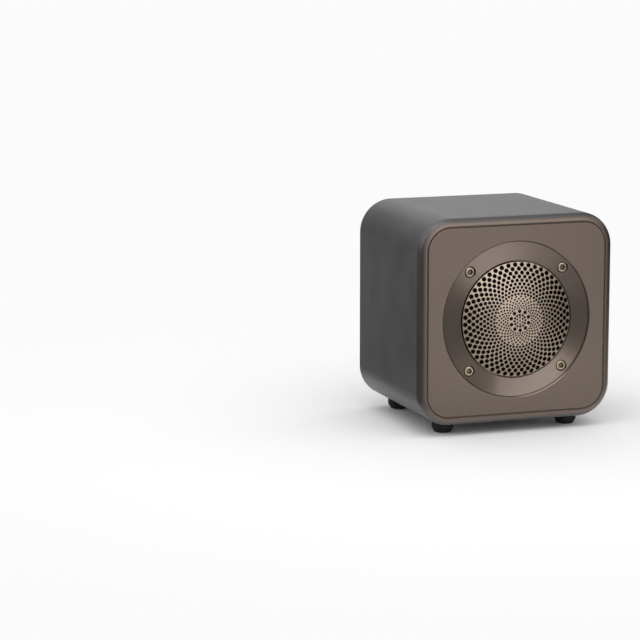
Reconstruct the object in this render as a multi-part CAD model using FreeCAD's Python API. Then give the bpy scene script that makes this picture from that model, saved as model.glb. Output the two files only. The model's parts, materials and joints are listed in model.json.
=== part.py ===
import FreeCAD
import Part

import math
import os

from FreeCAD import Vector

# Portable wireless speaker: a rounded-square metal body with one driver behind a domed grille.
# Millimetres. X to the right, Y from front to back, Z up.
# Pieces are drawn with the driver's axis on Y and the baffle's face at y = 0, and are then
# moved as one, so that the feet stand on z = 0 below the middle of the whole part.

# Casing
body_width = 90.0
body_height = 90.0
body_depth = 75.2
corner_radius = 14.6
shell_wall = 2.5
rear_rim_chamfer = 0.6
front_rim_chamfer = 0.2
sliding_play = 0.3
flat_play = 0.1
thread_play = 0.05
edge_search = 0.01

# Front baffle, with its engraved line
baffle_edge = 3.3
baffle_thickness = 7.0
edge_round = 3.2
groove_inset = 3.7
groove_width = 0.8
groove_depth = 0.45
groove_floor = 0.1
groove_corner = 10.0
front_gasket_thickness = 0.5
front_gasket_inset = 0.25

# Trim ring
ring_outer_radius = 34.0
ring_width = 8.3
ring_thickness = 3.0
ring_sink = 0.7
ring_edge_break = 0.15
recess_edge_break = 0.35

# Trim screws, which also hold the driver
trim_screw_count = 4
trim_screw_inset = 3.45
trim_screw_radius = 1.25
trim_head_radius = 2.1
trim_head_height = 1.7
trim_head_sink = 0.3
trim_head_gap = 0.35
trim_hex_flats = 2.4
trim_hex_depth = 1.0
trim_screw_tip = 1.3

# Domed grille
grille_sheet = 0.8
grille_gap = 0.6
grille_rim_proud = 0.2
grille_dome_rise = 4.0
grille_overlap = 1.9
grille_turn = 2.5

# Perforation: a wide band of rows and a centre figure
band_rows = 9
band_holes = 48
band_margin = 1.1
band_step = 1.72
band_step_shrink = 0.05
band_outer_hole = 0.96
band_inner_hole = 0.53
large_holes = 10
large_circle = 4.2
large_hole = 0.74
small_holes = 12
small_circle = 2.55
small_hole = 0.45
drilled_every = 2

# Tie screws, from the rear cover through the channels of the body into the baffle
channel_radius = 4.6
channel_bite = 0.4
tie_boss_radius = 3.6
tie_boss_reach = 2.0
tie_screw_radius = 1.5
tie_thread_length = 6.0
tie_head_radius = 2.75
tie_head_height = 1.6
tie_head_sink = 0.2
tie_hex_flats = 2.5
tie_hex_depth = 0.9

# Rear cover
cover_recess = 0.8
cover_thickness = 2.6
cover_edge_chamfer = 0.4
opening_chamfer = 0.3
cover_corner_step = 1.2
rear_gasket_thickness = 0.5
rear_gasket_width = 0.9
cover_pad_reach = 2.0
cover_pad_radius = 4.4
standoff_height = 11.8
standoff_radius = 2.4

# Feet
foot_radius = 4.8
foot_tip_radius = 3.5
foot_height = 4.9
foot_taper_height = 2.1
foot_inset_x = 15.9
foot_inset_y = 8.8
foot_screw_radius = 1.0
foot_head_radius = 1.8
foot_head_height = 1.2
foot_head_seat = 2.2
foot_screw_tip = 0.8

# Driver frame
driver_gasket_thickness = 0.6
flange_inset = 1.55
flange_thickness = 1.2
ear_radius = 3.4
ledge_inset = 4.75
ledge_depth = 0.7
ledge_width = 2.2
frame_sheet = 1.2
spider_ledge_depth = 9.8
spider_ledge_radius = 18.4
frame_neck_radius = 15.8
frame_depth = 12.8
frame_floor_bore = 11.5
frame_windows = 4
frame_window_angle = 52.0
frame_window_margin = 1.3

# Moving parts of the driver
surround_sheet = 0.6
surround_roll_radius = 1.75
surround_roll_sheet = 0.5
lip_width = 1.2
cone_sheet = 0.5
cone_depth = 7.5
former_radius = 8.0
former_sheet = 0.25
winding_sheet = 0.45
winding_length = 4.6
dust_cap_radius = 9.3
dust_cap_rise = 2.8
dust_cap_sheet = 0.5
spider_sheet = 0.4
spider_waves = 3
spider_wave_height = 0.7
spider_lip = 1.2

# Magnet system
coil_gap = 0.35
pole_gap = 0.4
top_plate_radius = 19.0
top_plate_thickness = 3.0
magnet_radius = 20.0
magnet_bore = 11.5
magnet_thickness = 7.0
yoke_radius = 19.0
yoke_thickness = 3.0
pole_vent_radius = 1.6

# Terminals of the driver
strip_width = 12.0
strip_length = 8.8
strip_thickness = 1.0
tag_pitch = 4.0
tag_width = 2.0
tag_length = 4.0
tag_sheet = 0.4
tag_wire_rise = 1.0

# Main board
board_margin_x = 2.5
board_margin_z = 11.5
board_thickness = 1.6
board_corner = 2.0
board_hole_inset_x = 2.4
board_hole_inset_z = 4.0
board_screw_radius = 1.0
board_screw_length = 8.0
board_head_radius = 1.8
board_head_height = 1.2

# Buttons and their switches
button_pitch = 17.0
button_height = 16.0
button_radius = 4.4
button_proud = 0.6
button_crown = 0.3
button_flange_radius = 5.6
button_flange = 0.8
button_stem_radius = 1.6
button_travel = 0.6
switch_size = 6.0
switch_body_height = 3.5
plunger_radius = 1.75
plunger_proud = 1.5
plunger_depth = 1.2

# Sockets and light
socket_height = -14.0
socket_mouth_depth = 0.6
usb_offset = -11.0
usb_width = 8.94
usb_thickness = 3.26
usb_sheet = 0.3
usb_depth = 6.5
usb_tongue_width = 6.7
usb_tongue_thickness = 0.7
usb_tongue_sink = 1.0
usb_base_width = 10.0
usb_base_thickness = 5.0
aux_offset = 11.0
aux_bore = 1.8
aux_neck_radius = 3.0
aux_neck_length = 3.3
aux_body_width = 9.0
aux_body_thickness = 8.0
aux_tip_hole = 2.0
light_height = 4.0
light_radius = 1.0
light_collar_radius = 1.8
light_collar = 1.0
led_width = 1.6
led_height = 0.8
led_gap = 0.3

# Parts on the front of the board, set in from its sides
radio_inset = 16.0
radio_level = 14.0
radio_width = 16.0
radio_height = 20.0
radio_board = 0.8
radio_shield = 1.6
radio_shield_margin = 1.5
radio_aerial = 6.0
power_level = 12.0
power_spacing = 10.0
chip_size = 7.0
chip_thickness = 1.0
inductor_size = 7.0
inductor_thickness = 4.0
inductor_base = 1.0
inductor_core_radius = 2.6
capacitor_count = 2
capacitor_inset = 12.0
capacitor_level = 6.0
capacitor_spacing = 9.0
capacitor_radius = 3.15
capacitor_length = 7.7
socket_block = 4.0
socket_block_width = 9.0
socket_block_depth = 4.6
socket_wall = 1.0
plug_length = 5.0
plug_play = 0.2
speaker_socket_place = (0.0, 24.0)
battery_socket_place = (12.0, -14.0)

# Battery, between the feet's screws and clear of its lead
pack_front = 10.0
pack_lead_room = 8.2
pack_thickness = 10.0
pack_edge_round = 2.0
tray_foot_gap = 0.9
tray_wall = 1.5
tray_floor = 2.0
tray_rim = 6.0
tray_play = 0.3
tray_screw_inset = 11.0
tray_screw_radius = 1.0
tray_screw_bite = 2.0
tray_head_radius = 1.9
tray_head_height = 1.2
tray_head_sink = 0.3

# Leads inside the body
wire_radius = 0.7
wire_bend_share = 0.45
speaker_lead_out = 7.5
speaker_lead_bow = 5.4
speaker_lead_in = 4.5

# Worked out from the values above
inner_width = body_width - 2 * shell_wall
inner_height = body_height - 2 * shell_wall
inner_corner = corner_radius - shell_wall
bottom = -body_height / 2
floor_inside = bottom + shell_wall
shell_front = baffle_edge + front_gasket_thickness
cover_outside = body_depth - cover_recess
cover_inside = cover_outside - cover_thickness
cover_seat = cover_inside - rear_gasket_thickness
mouth_width = inner_width + 2 * cover_corner_step
mouth_height = inner_height + 2 * cover_corner_step
mouth_corner = inner_corner + cover_corner_step
channel_front = baffle_thickness + tie_boss_reach
channel_rear = cover_inside - cover_pad_reach
channel_shift = (inner_corner - channel_radius + channel_bite) / math.sqrt(2)
tie_x = body_width / 2 - corner_radius + channel_shift
tie_z = body_height / 2 - corner_radius + channel_shift
ring_bore_radius = ring_outer_radius - ring_width
ring_back = ring_sink + ring_thickness
trim_screw_circle = ring_outer_radius - trim_screw_inset
grille_rim_radius = ring_bore_radius - grille_gap
grille_flange_radius = ring_bore_radius + grille_overlap
grille_seat = ring_back + grille_sheet
grille_rim = ring_sink - grille_rim_proud
band_outer_radius = grille_rim_radius - band_margin
dome_radius = (grille_rim_radius ** 2 + grille_dome_rise ** 2) / (2 * grille_dome_rise)
dome_top = grille_rim - grille_dome_rise
dome_centre = dome_top + dome_radius
driver_front = baffle_thickness + driver_gasket_thickness
flange_radius = trim_screw_circle - flange_inset
ledge_radius = trim_screw_circle - ledge_inset
ledge = driver_front + ledge_depth
ledge_bore = ledge_radius - ledge_width
roll_middle = ledge_bore - surround_roll_radius
cone_radius = roll_middle - surround_roll_radius
cone_lip = cone_radius - lip_width
spider_ledge = driver_front + spider_ledge_depth
plate_front = driver_front + frame_depth
magnet_front = plate_front + top_plate_thickness
yoke_front = magnet_front + magnet_thickness
former_outer = former_radius + former_sheet
winding_outer = former_outer + winding_sheet
coil_middle = plate_front + top_plate_thickness / 2
former_rear = coil_middle + winding_length / 2 + flat_play
former_front = ledge + cone_depth
cone_neck = former_outer + flat_play
board_rear = cover_inside - standoff_height
board_front = board_rear - board_thickness
board_width = inner_width - 2 * board_margin_x
board_height = inner_height - 2 * board_margin_z
board_hole_x = board_width / 2 - board_hole_inset_x
board_hole_z = board_height / 2 - board_hole_inset_z
radio_place = (radio_inset - board_width / 2, radio_level)
capacitor_x = board_width / 2 - capacitor_inset
inductor_place = (capacitor_x - power_spacing, power_level)
chip_place = (capacitor_x - 2 * power_spacing, power_level)
plug_back = board_front - socket_wall - plug_play
plug_front = plug_back - plug_length
socket_mouth = cover_outside - socket_mouth_depth
switch_front = board_rear + switch_body_height
plunger_top = switch_front + plunger_proud
button_places = {"minus": button_pitch, "power": 0.0, "plus": -button_pitch}
foot_x = body_width / 2 - foot_inset_x
foot_front = shell_front + foot_inset_y
foot_rear = body_depth - foot_inset_y
foot_bottom = bottom - foot_height
tray_width = 2 * (foot_x - foot_screw_radius - tray_foot_gap)
pack_width = tray_width - 2 * (tray_wall + tray_play)
pack_length = plug_front - pack_lead_room - pack_front
pack_bottom = floor_inside + tray_floor
tray_middle = pack_front + pack_length / 2
tray_screw_x = pack_width / 2 - tray_screw_inset
shift_to_floor = Vector(0, -(dome_top + body_depth) / 2, -foot_bottom)

ALONG = Vector(0, 1, 0)
ORIGIN = Vector(0, 0, 0)


# Helpers for forms that stand across or turn about the Y axis

def block(x, z, width, height, y_from, y_to):
    """Box centred on (x, z), from y_from back to y_to."""
    corner = Vector(x - width / 2, y_from, z - height / 2)
    return Part.makeBox(width, y_to - y_from, height, corner)


def rounded_block(width, height, radius, y_from, y_to, x=0.0, z=0.0):
    """Box with its four edges along Y rounded."""
    plain = block(x, z, width, height, y_from, y_to)
    along = [edge for edge in plain.Edges if abs(edge.tangentAt(edge.FirstParameter).y) > 0.99]
    return plain.makeFillet(radius, along)


def outline(width, height, radius, y):
    """Rounded rectangle across the Y axis, as a closed wire."""
    slab = rounded_block(width, height, radius, y, y + 1)
    front = min(slab.Faces, key=lambda face: face.CenterOfMass.y)
    return front.OuterWire


def rod(x, z, radius, y_from, y_to):
    return Part.makeCylinder(radius, y_to - y_from, Vector(x, y_from, z), ALONG)


def edges_at(shape, y):
    """Edges that lie wholly across the Y axis at y."""
    found = []
    for edge in shape.Edges:
        span = edge.BoundBox
        if abs(span.YMin - y) < edge_search and abs(span.YMax - y) < edge_search:
            found.append(edge)
    return found


def flare(x, z, radius, size, y):
    """Cutter that chamfers the mouth of a round opening in a rear face at y."""
    return Part.makeCone(radius, radius + size, size, Vector(x, y - size, z), ALONG)


def ring(outer, inner, y_from, y_to, x=0.0, z=0.0):
    return rod(x, z, outer, y_from, y_to).cut(rod(x, z, inner, y_from, y_to))


def hexagon(x, z, flats, y_from, y_to):
    """Hexagonal prism along Y, given across its flats."""
    reach = flats / math.sqrt(3)
    corners = []
    for step in range(7):
        angle = math.radians(60 * step)
        corners.append(Vector(x + reach * math.cos(angle), y_from, z + reach * math.sin(angle)))
    return Part.Face(Part.makePolygon(corners)).extrude(Vector(0, y_to - y_from, 0))


def turned(points):
    """Solid of revolution about Y from a closed outline of (radius, y) points."""
    corners = [Vector(radius, y, 0) for radius, y in points]
    corners.append(corners[0])
    return Part.Face(Part.makePolygon(corners)).revolve(ORIGIN, ALONG, 360)


def turned_edges(edges):
    """Solid of revolution about Y from edges in the XY plane, in any order."""
    wire = Part.Wire(Part.__sortEdges__(edges))
    return Part.Face(wire).revolve(ORIGIN, ALONG, 360)


def line(start, end):
    return Part.LineSegment(Vector(start[0], start[1], 0), Vector(end[0], end[1], 0)).toShape()


def arc(start, middle, end):
    points = [Vector(point[0], point[1], 0) for point in (start, middle, end)]
    return Part.Arc(*points).toShape()


def ring_places(count, circle, first_angle):
    """Places (x, z) evenly spaced on a circle about the driver's axis."""
    places = []
    for step in range(count):
        angle = math.radians(first_angle + 360.0 * step / count)
        places.append((circle * math.cos(angle), circle * math.sin(angle)))
    return places


def four_corners(x, z):
    return [(x, z), (-x, z), (-x, -z), (x, -z)]


def joined(shapes):
    """One solid from shapes that meet or overlap."""
    shapes = list(shapes)
    whole = shapes[0].fuse(shapes[1:])
    return whole.removeSplitter()


def socket_screw(x, z, radius, tip, head_radius, head_from, head_to, hex_flats, hex_depth):
    """Socket-head screw along Y, its head's top at head_from and its point at tip."""
    way = 1 if tip > head_from else -1
    head = rod(x, z, head_radius, min(head_from, head_to), max(head_from, head_to))
    shank = rod(x, z, radius, min(head_to, tip), max(head_to, tip))
    hex_end = head_from + way * hex_depth
    key = hexagon(x, z, hex_flats, min(head_from, hex_end), max(head_from, hex_end))
    return head.fuse(shank).removeSplitter().cut(key)


trim_places = ring_places(trim_screw_count, trim_screw_circle, 45)
tie_places = four_corners(tie_x, tie_z)
board_places = four_corners(board_hole_x, board_hole_z)
foot_places = {
    "front_left": (-foot_x, foot_front),
    "front_right": (foot_x, foot_front),
    "rear_left": (-foot_x, foot_rear),
    "rear_right": (foot_x, foot_rear),
}
tray_places = [(-tray_screw_x, tray_middle), (tray_screw_x, tray_middle)]


# Casing

def upright(x, y, radius, z_from, z_to):
    return Part.makeCylinder(radius, z_to - z_from, Vector(x, y, z_from))


def outer_form():
    return rounded_block(body_width, body_height, corner_radius, shell_front, body_depth)


def body_shell():
    """Extruded tube with four screw channels, its rear mouth cut wider for the cover."""
    shell = outer_form()
    shell = shell.makeChamfer(rear_rim_chamfer, edges_at(shell, body_depth))
    shell = shell.makeChamfer(front_rim_chamfer, edges_at(shell, shell_front))
    shell = shell.cut(rounded_block(inner_width, inner_height, inner_corner, shell_front, body_depth))
    channels = [rod(x, z, channel_radius, channel_front, channel_rear) for x, z in tie_places]
    channels = [channel.common(outer_form()) for channel in channels]
    shell = joined([shell] + channels)
    mouth = rounded_block(mouth_width, mouth_height, mouth_corner, cover_seat, body_depth)
    cuts = [mouth]
    for x, z in tie_places:
        cuts.append(rod(x, z, tie_screw_radius + flat_play, channel_front, channel_rear))
    for x, y in foot_places.values():
        through = floor_inside + foot_screw_tip
        cuts.append(upright(x, y, foot_screw_radius + thread_play, bottom, through))
    for x, y in tray_places:
        deep = floor_inside - tray_screw_bite
        cuts.append(upright(x, y, tray_screw_radius + thread_play, deep, floor_inside))
    return shell.cut(cuts)


def groove():
    """Engraved line with sloping walls, round the baffle's face."""
    middle = body_width - 2 * groove_inset
    tall = body_height - 2 * groove_inset
    spread = groove_width - groove_floor
    frustums = []
    for side in (1, -1):
        wires = []
        for y, half in ((0.0, groove_width), (groove_depth, groove_width - spread)):
            grow = side * half
            wires.append(outline(middle + grow, tall + grow, groove_corner + grow / 2, y))
        frustums.append(Part.makeLoft(wires, True, True))
    return frustums[0].cut(frustums[1])


def front_baffle():
    """Front plate with a rounded edge, stepped to enter the body, with four rear bosses."""
    plate = rounded_block(body_width, body_height, corner_radius, 0.0, baffle_edge)
    plate = plate.makeFillet(edge_round, edges_at(plate, 0.0))
    spigot = rounded_block(inner_width - 2 * sliding_play, inner_height - 2 * sliding_play,
                           inner_corner - sliding_play, baffle_edge, baffle_thickness)
    bosses = [rod(x, z, tie_boss_radius, baffle_thickness, channel_front) for x, z in tie_places]
    whole = joined([plate, spigot] + bosses)
    recess = ring_outer_radius + flat_play
    seat = grille_flange_radius + flat_play
    opening = turned([
        (0.0, 0.0),
        (recess + recess_edge_break, 0.0),
        (recess, recess_edge_break),
        (recess, ring_back),
        (seat, ring_back),
        (seat, grille_seat),
        (grille_rim_radius - grille_sheet, grille_seat),
        (grille_rim_radius - grille_sheet, baffle_thickness),
        (0.0, baffle_thickness),
    ])
    cuts = [opening, groove()]
    for x, z in trim_places:
        cuts.append(rod(x, z, trim_screw_radius + flat_play, ring_back, baffle_thickness))
    for x, z in tie_places:
        thread_from = channel_front - tie_thread_length
        cuts.append(rod(x, z, tie_screw_radius + thread_play, thread_from, channel_front))
    return whole.cut(cuts)


def frame_gasket(width, height, corner, inner_w, inner_h, inner_r, y_from, y_to):
    outer = rounded_block(width, height, corner, y_from, y_to)
    return outer.cut(rounded_block(inner_w, inner_h, inner_r, y_from, y_to))


def front_gasket():
    inset = 2 * front_gasket_inset
    return frame_gasket(body_width - inset, body_height - inset, corner_radius - front_gasket_inset,
                        inner_width, inner_height, inner_corner, baffle_edge, shell_front)


def rear_gasket():
    trim = 2 * flat_play
    narrow = trim + 2 * rear_gasket_width
    return frame_gasket(mouth_width - trim, mouth_height - trim, mouth_corner - flat_play,
                        mouth_width - narrow, mouth_height - narrow, mouth_corner - narrow / 2,
                        cover_seat, cover_inside)


def trim_ring():
    """Flat turned ring with broken edges and four counterbored holes."""
    body = turned([
        (ring_bore_radius + ring_edge_break, ring_sink),
        (ring_outer_radius - ring_edge_break, ring_sink),
        (ring_outer_radius, ring_sink + ring_edge_break),
        (ring_outer_radius, ring_back),
        (ring_bore_radius, ring_back),
        (ring_bore_radius, ring_sink + ring_edge_break),
    ])
    cuts = []
    for x, z in trim_places:
        head_seat = ring_sink + trim_head_sink + trim_head_height
        cuts.append(rod(x, z, trim_head_radius + trim_head_gap, ring_sink, head_seat))
        cuts.append(rod(x, z, trim_screw_radius + flat_play, ring_sink, ring_back))
    return body.cut(cuts)


def trim_screws():
    head_from = ring_sink + trim_head_sink
    tip = driver_front + flange_thickness + trim_screw_tip
    screws = []
    for x, z in trim_places:
        screws.append(socket_screw(x, z, trim_screw_radius, tip, trim_head_radius, head_from,
                                   head_from + trim_head_height, trim_hex_flats, trim_hex_depth))
    return Part.makeCompound(screws)


def dome_y(radius, sphere):
    """Where a sphere about the dome's centre lies, at a radius from the driver's axis."""
    return dome_centre - math.sqrt(sphere ** 2 - radius ** 2)


def drill(radius, place):
    """Round cutter square to the dome, at a place (x, z)."""
    foot = Vector(0, dome_centre, 0)
    away = Vector(place[0], dome_y(math.hypot(*place), dome_radius), place[1]).sub(foot)
    away.normalize()
    start = foot + away * (dome_radius - 2 * grille_sheet)
    return Part.makeCylinder(radius, 3 * grille_sheet, start, away)


def band_row(row):
    """Radius of a row of the band and of its holes; rows draw closer and finer inwards."""
    circle = band_outer_radius - row * band_step + row * (row - 1) / 2 * band_step_shrink
    share = row / (band_rows - 1)
    return circle, band_outer_hole + share * (band_inner_hole - band_outer_hole)


def grille():
    """Hat of thin sheet: a flange under the ring, a short wall and a shallow dome with holes."""
    inner_radius = grille_rim_radius - grille_sheet
    inner_sphere = dome_radius - grille_sheet
    inner_rim = dome_y(inner_radius, inner_sphere)
    half = grille_rim_radius / 2
    flange = grille_flange_radius
    sheet = turned_edges([
        line((0, dome_top), (0, dome_top + grille_sheet)),
        arc((0, dome_top + grille_sheet), (half, dome_y(half, inner_sphere)), (inner_radius, inner_rim)),
        line((inner_radius, inner_rim), (inner_radius, grille_seat)),
        line((inner_radius, grille_seat), (flange, grille_seat)),
        line((flange, grille_seat), (flange, ring_back)),
        line((flange, ring_back), (grille_rim_radius, ring_back)),
        line((grille_rim_radius, ring_back), (grille_rim_radius, grille_rim)),
        arc((grille_rim_radius, grille_rim), (half, dome_y(half, dome_radius)), (0, dome_top)),
    ])
    holes = []
    for row in range(0, band_rows - 1, drilled_every):
        circle, radius = band_row(row)
        count = band_holes // drilled_every
        first = grille_turn + (row // drilled_every % 2) * 180.0 / count
        holes += [drill(radius, place) for place in ring_places(count, circle, first)]
    half_step = 180.0 / large_holes
    for place in ring_places(large_holes, large_circle, grille_turn + half_step):
        holes.append(drill(large_hole, place))
    for place in ring_places(small_holes, small_circle, grille_turn):
        holes.append(drill(small_hole, place))
    return sheet.cut(holes)


def rear_cover():
    """Flat moulded cover with screw pads, standoffs for the board and openings."""
    plate = rounded_block(mouth_width - 2 * sliding_play, mouth_height - 2 * sliding_play,
                          mouth_corner - sliding_play, cover_inside, cover_outside)
    plate = plate.makeChamfer(cover_edge_chamfer, edges_at(plate, cover_outside))
    pads = [rod(x, z, cover_pad_radius, channel_rear, cover_inside) for x, z in tie_places]
    inside = rounded_block(inner_width - 2 * sliding_play, inner_height - 2 * sliding_play,
                           inner_corner - sliding_play, channel_rear, cover_inside)
    pads = [pad.common(inside) for pad in pads]
    posts = [rod(x, z, standoff_radius, board_rear, cover_inside) for x, z in board_places]
    whole = joined([plate] + pads + posts)
    cuts = []
    for x, z in tie_places:
        head_seat = cover_outside - tie_head_sink - tie_head_height
        cuts.append(rod(x, z, tie_head_radius + sliding_play, head_seat, cover_outside))
        cuts.append(rod(x, z, tie_screw_radius + flat_play, channel_rear, cover_outside))
    for x, z in board_places:
        deep = board_front + board_screw_length + thread_play
        cuts.append(rod(x, z, board_screw_radius + thread_play, board_rear, deep))
    for x in button_places.values():
        opening = button_radius + sliding_play
        cuts.append(rod(x, button_height, opening, cover_inside, cover_outside))
        cuts.append(flare(x, button_height, opening, opening_chamfer, cover_outside))
    cuts.append(rounded_block(usb_width + 2 * sliding_play, usb_thickness + 2 * sliding_play,
                              usb_thickness / 2, cover_inside, cover_outside,
                              usb_offset, socket_height))
    neck = aux_neck_radius + sliding_play
    cuts.append(rod(aux_offset, socket_height, neck, cover_inside, cover_outside))
    cuts.append(flare(aux_offset, socket_height, neck, opening_chamfer, cover_outside))
    cuts.append(rod(0, light_height, light_radius + flat_play, cover_inside, cover_outside))
    return whole.cut(cuts)


def tie_screws():
    head_from = cover_outside - tie_head_sink
    tip = channel_front - tie_thread_length + thread_play
    screws = []
    for x, z in tie_places:
        screws.append(socket_screw(x, z, tie_screw_radius, tip, tie_head_radius, head_from,
                                   head_from - tie_head_height, tie_hex_flats, tie_hex_depth))
    return Part.makeCompound(screws)


def foot(x, y):
    """Rubber foot, tapered below and shaped to the body above, with a sunk screw."""
    above = bottom + corner_radius
    profile = [
        Vector(0, 0, foot_bottom),
        Vector(foot_tip_radius, 0, foot_bottom),
        Vector(foot_radius, 0, foot_bottom + foot_taper_height),
        Vector(foot_radius, 0, above),
        Vector(0, 0, above),
        Vector(0, 0, foot_bottom),
    ]
    body = Part.Face(Part.makePolygon(profile)).revolve(ORIGIN, Vector(0, 0, 1), 360)
    body.translate(Vector(x, y, 0))
    head_top = foot_bottom + foot_head_seat
    cuts = [
        outer_form(),
        upright(x, y, foot_head_radius + flat_play, foot_bottom, head_top),
        upright(x, y, foot_screw_radius + flat_play, foot_bottom, above),
    ]
    shaped = body.cut(cuts)
    return min(shaped.Solids, key=lambda solid: solid.BoundBox.ZMin)


def foot_screws():
    head_top = foot_bottom + foot_head_seat
    screws = []
    for x, y in foot_places.values():
        head = upright(x, y, foot_head_radius, head_top - foot_head_height, head_top)
        shank = upright(x, y, foot_screw_radius, head_top, floor_inside + foot_screw_tip)
        screws.append(head.fuse(shank).removeSplitter())
    return Part.makeCompound(screws)


# Driver

def flange_form(outer, bore, y_from, y_to, hole):
    """Round flange with an ear at each trim screw."""
    ears = [rod(x, z, ear_radius, y_from, y_to) for x, z in trim_places]
    plate = joined([rod(0, 0, outer, y_from, y_to)] + ears)
    cuts = [rod(0, 0, bore, y_from, y_to)]
    cuts += [rod(x, z, hole, y_from, y_to) for x, z in trim_places]
    return plate.cut(cuts)


def driver_gasket():
    return flange_form(flange_radius, ledge_radius, baffle_thickness, driver_front,
                       trim_screw_radius + flat_play)


def driver_frame():
    """Pressed basket: flange, open cone of four legs, spider ledge and floor."""
    flange = flange_form(flange_radius, ledge_radius, driver_front, driver_front + flange_thickness,
                         trim_screw_radius + thread_play)
    ledge_back = ledge + frame_sheet
    back = spider_ledge + frame_sheet
    basket = turned([
        (ledge_radius + frame_sheet, driver_front),
        (ledge_radius, driver_front),
        (ledge_radius, ledge),
        (ledge_bore, ledge),
        (ledge_bore, ledge_back),
        (spider_ledge_radius, spider_ledge),
        (frame_neck_radius, spider_ledge),
        (frame_neck_radius, plate_front - frame_sheet),
        (frame_floor_bore, plate_front - frame_sheet),
        (frame_floor_bore, plate_front),
        (frame_neck_radius + frame_sheet, plate_front),
        (frame_neck_radius + frame_sheet, back),
        (spider_ledge_radius + frame_sheet, back),
        (ledge_bore + frame_sheet, ledge_back),
        (ledge_radius + frame_sheet, ledge_back),
    ])
    whole = joined([flange, basket])
    low = ledge_back + frame_window_margin
    high = spider_ledge - frame_window_margin
    window = Part.makePolygon([
        Vector(frame_neck_radius, low, 0),
        Vector(flange_radius, low, 0),
        Vector(flange_radius, high, 0),
        Vector(frame_neck_radius, high, 0),
        Vector(frame_neck_radius, low, 0),
    ])
    cutter = Part.Face(window).revolve(ORIGIN, ALONG, frame_window_angle)
    cuts = []
    for step in range(frame_windows):
        piece = cutter.copy()
        piece.rotate(ORIGIN, ALONG, 360.0 * step / frame_windows - frame_window_angle / 2)
        cuts.append(piece)
    return whole.cut(cuts)


def surround():
    """Rubber half roll between the frame's ledge and the cone's lip."""
    front = ledge - surround_sheet
    big = surround_roll_radius
    small = surround_roll_radius - surround_roll_sheet
    outside = ledge_radius - flat_play
    inside = cone_lip + flat_play
    return turned_edges([
        line((outside, ledge), (outside, front)),
        line((outside, front), (roll_middle + big, front)),
        arc((roll_middle + big, front), (roll_middle, front - big), (roll_middle - big, front)),
        line((roll_middle - big, front), (inside, front)),
        line((inside, front), (inside, ledge)),
        line((inside, ledge), (roll_middle - small, ledge)),
        line((roll_middle - small, ledge), (roll_middle - small, front)),
        arc((roll_middle - small, front), (roll_middle, front - small), (roll_middle + small, front)),
        line((roll_middle + small, front), (roll_middle + small, ledge)),
        line((roll_middle + small, ledge), (outside, ledge)),
    ])


def cone():
    """Paper cone with a flat lip under the surround."""
    rear = ledge + cone_depth
    return turned([
        (cone_radius, ledge),
        (cone_lip, ledge),
        (cone_neck, rear),
        (cone_neck, rear + cone_sheet),
        (cone_lip, ledge + cone_sheet),
        (cone_radius, ledge + cone_sheet),
    ])


def dust_cap():
    """Shallow dome over the coil, its rim just above the cone."""
    slope = cone_depth / (cone_lip - cone_neck)
    rim = ledge + (cone_lip - dust_cap_radius) * slope - flat_play
    top = rim - dust_cap_rise
    sphere = (dust_cap_radius ** 2 + dust_cap_rise ** 2) / (2 * dust_cap_rise)
    below = Vector(0, top + sphere, 0)
    cap = Part.makeSphere(sphere, below).cut(Part.makeSphere(sphere - dust_cap_sheet, below))
    return cap.common(rod(0, 0, sphere, top - flat_play, rim))


def spider():
    """Corrugated disc that centres the coil, on the frame's inner ledge."""
    inside = former_outer + flat_play
    outside = spider_ledge_radius - flat_play
    wave_from = inside + spider_lip
    wave_to = frame_neck_radius
    pitch = (wave_to - wave_from) / spider_waves
    crests = []
    for wave in range(spider_waves):
        crests.append((wave_from + (wave + 0.25) * pitch, -spider_wave_height))
        crests.append((wave_from + (wave + 0.75) * pitch, spider_wave_height))
    path = [(inside, 0), (wave_from, 0)] + crests + [(wave_to, 0), (outside, 0)]
    front = [(radius, spider_ledge - spider_sheet + rise) for radius, rise in path]
    rear = [(radius, spider_ledge + rise) for radius, rise in reversed(path)]
    return turned(front + rear)


def coil_former():
    return ring(former_outer, former_radius, former_front, former_rear)


def coil_winding():
    half = winding_length / 2
    return ring(winding_outer, former_outer, coil_middle - half, coil_middle + half)


def top_plate():
    return ring(top_plate_radius, winding_outer + coil_gap, plate_front, magnet_front)


def magnet():
    return ring(magnet_radius, magnet_bore, magnet_front, yoke_front)


def yoke():
    """Back plate and pole in one, with a vent through the pole."""
    pole = former_radius - pole_gap
    rear = yoke_front + yoke_thickness
    return turned([
        (pole_vent_radius, plate_front),
        (pole, plate_front),
        (pole, yoke_front),
        (yoke_radius, yoke_front),
        (yoke_radius, rear),
        (pole_vent_radius, rear),
    ])


strip_front = spider_ledge + frame_sheet
strip_back = strip_front + strip_thickness
strip_bottom = frame_neck_radius + frame_sheet + sliding_play
strip_top = strip_bottom + strip_length
tag_front = strip_back
tag_back = tag_front + tag_sheet
tag_middle = strip_top


def terminal_strip():
    """Insulating strip on the back of the frame's shoulder."""
    height = strip_top - strip_bottom
    strip = block(0, strip_bottom + height / 2, strip_width, height, strip_front, strip_back)
    return strip.cut(rod(0, 0, frame_neck_radius + frame_sheet + flat_play, strip_front, strip_back))


def solder_tags():
    tags = []
    for side in (-1, 1):
        tags.append(block(side * tag_pitch / 2, tag_middle, tag_width, tag_length, tag_front, tag_back))
    return Part.makeCompound(tags)


# Electronics

def main_board():
    board = rounded_block(board_width, board_height, board_corner, board_front, board_rear)
    cuts = [rod(x, z, board_screw_radius + flat_play, board_front, board_rear) for x, z in board_places]
    cuts.append(rod(aux_offset, socket_height, aux_tip_hole, board_front, board_rear))
    return board.cut(cuts)


def board_screws():
    screws = []
    for x, z in board_places:
        head = rod(x, z, board_head_radius, board_front - board_head_height, board_front)
        shank = rod(x, z, board_screw_radius, board_front, board_front + board_screw_length)
        screws.append(head.fuse(shank).removeSplitter())
    return Part.makeCompound(screws)


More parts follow.
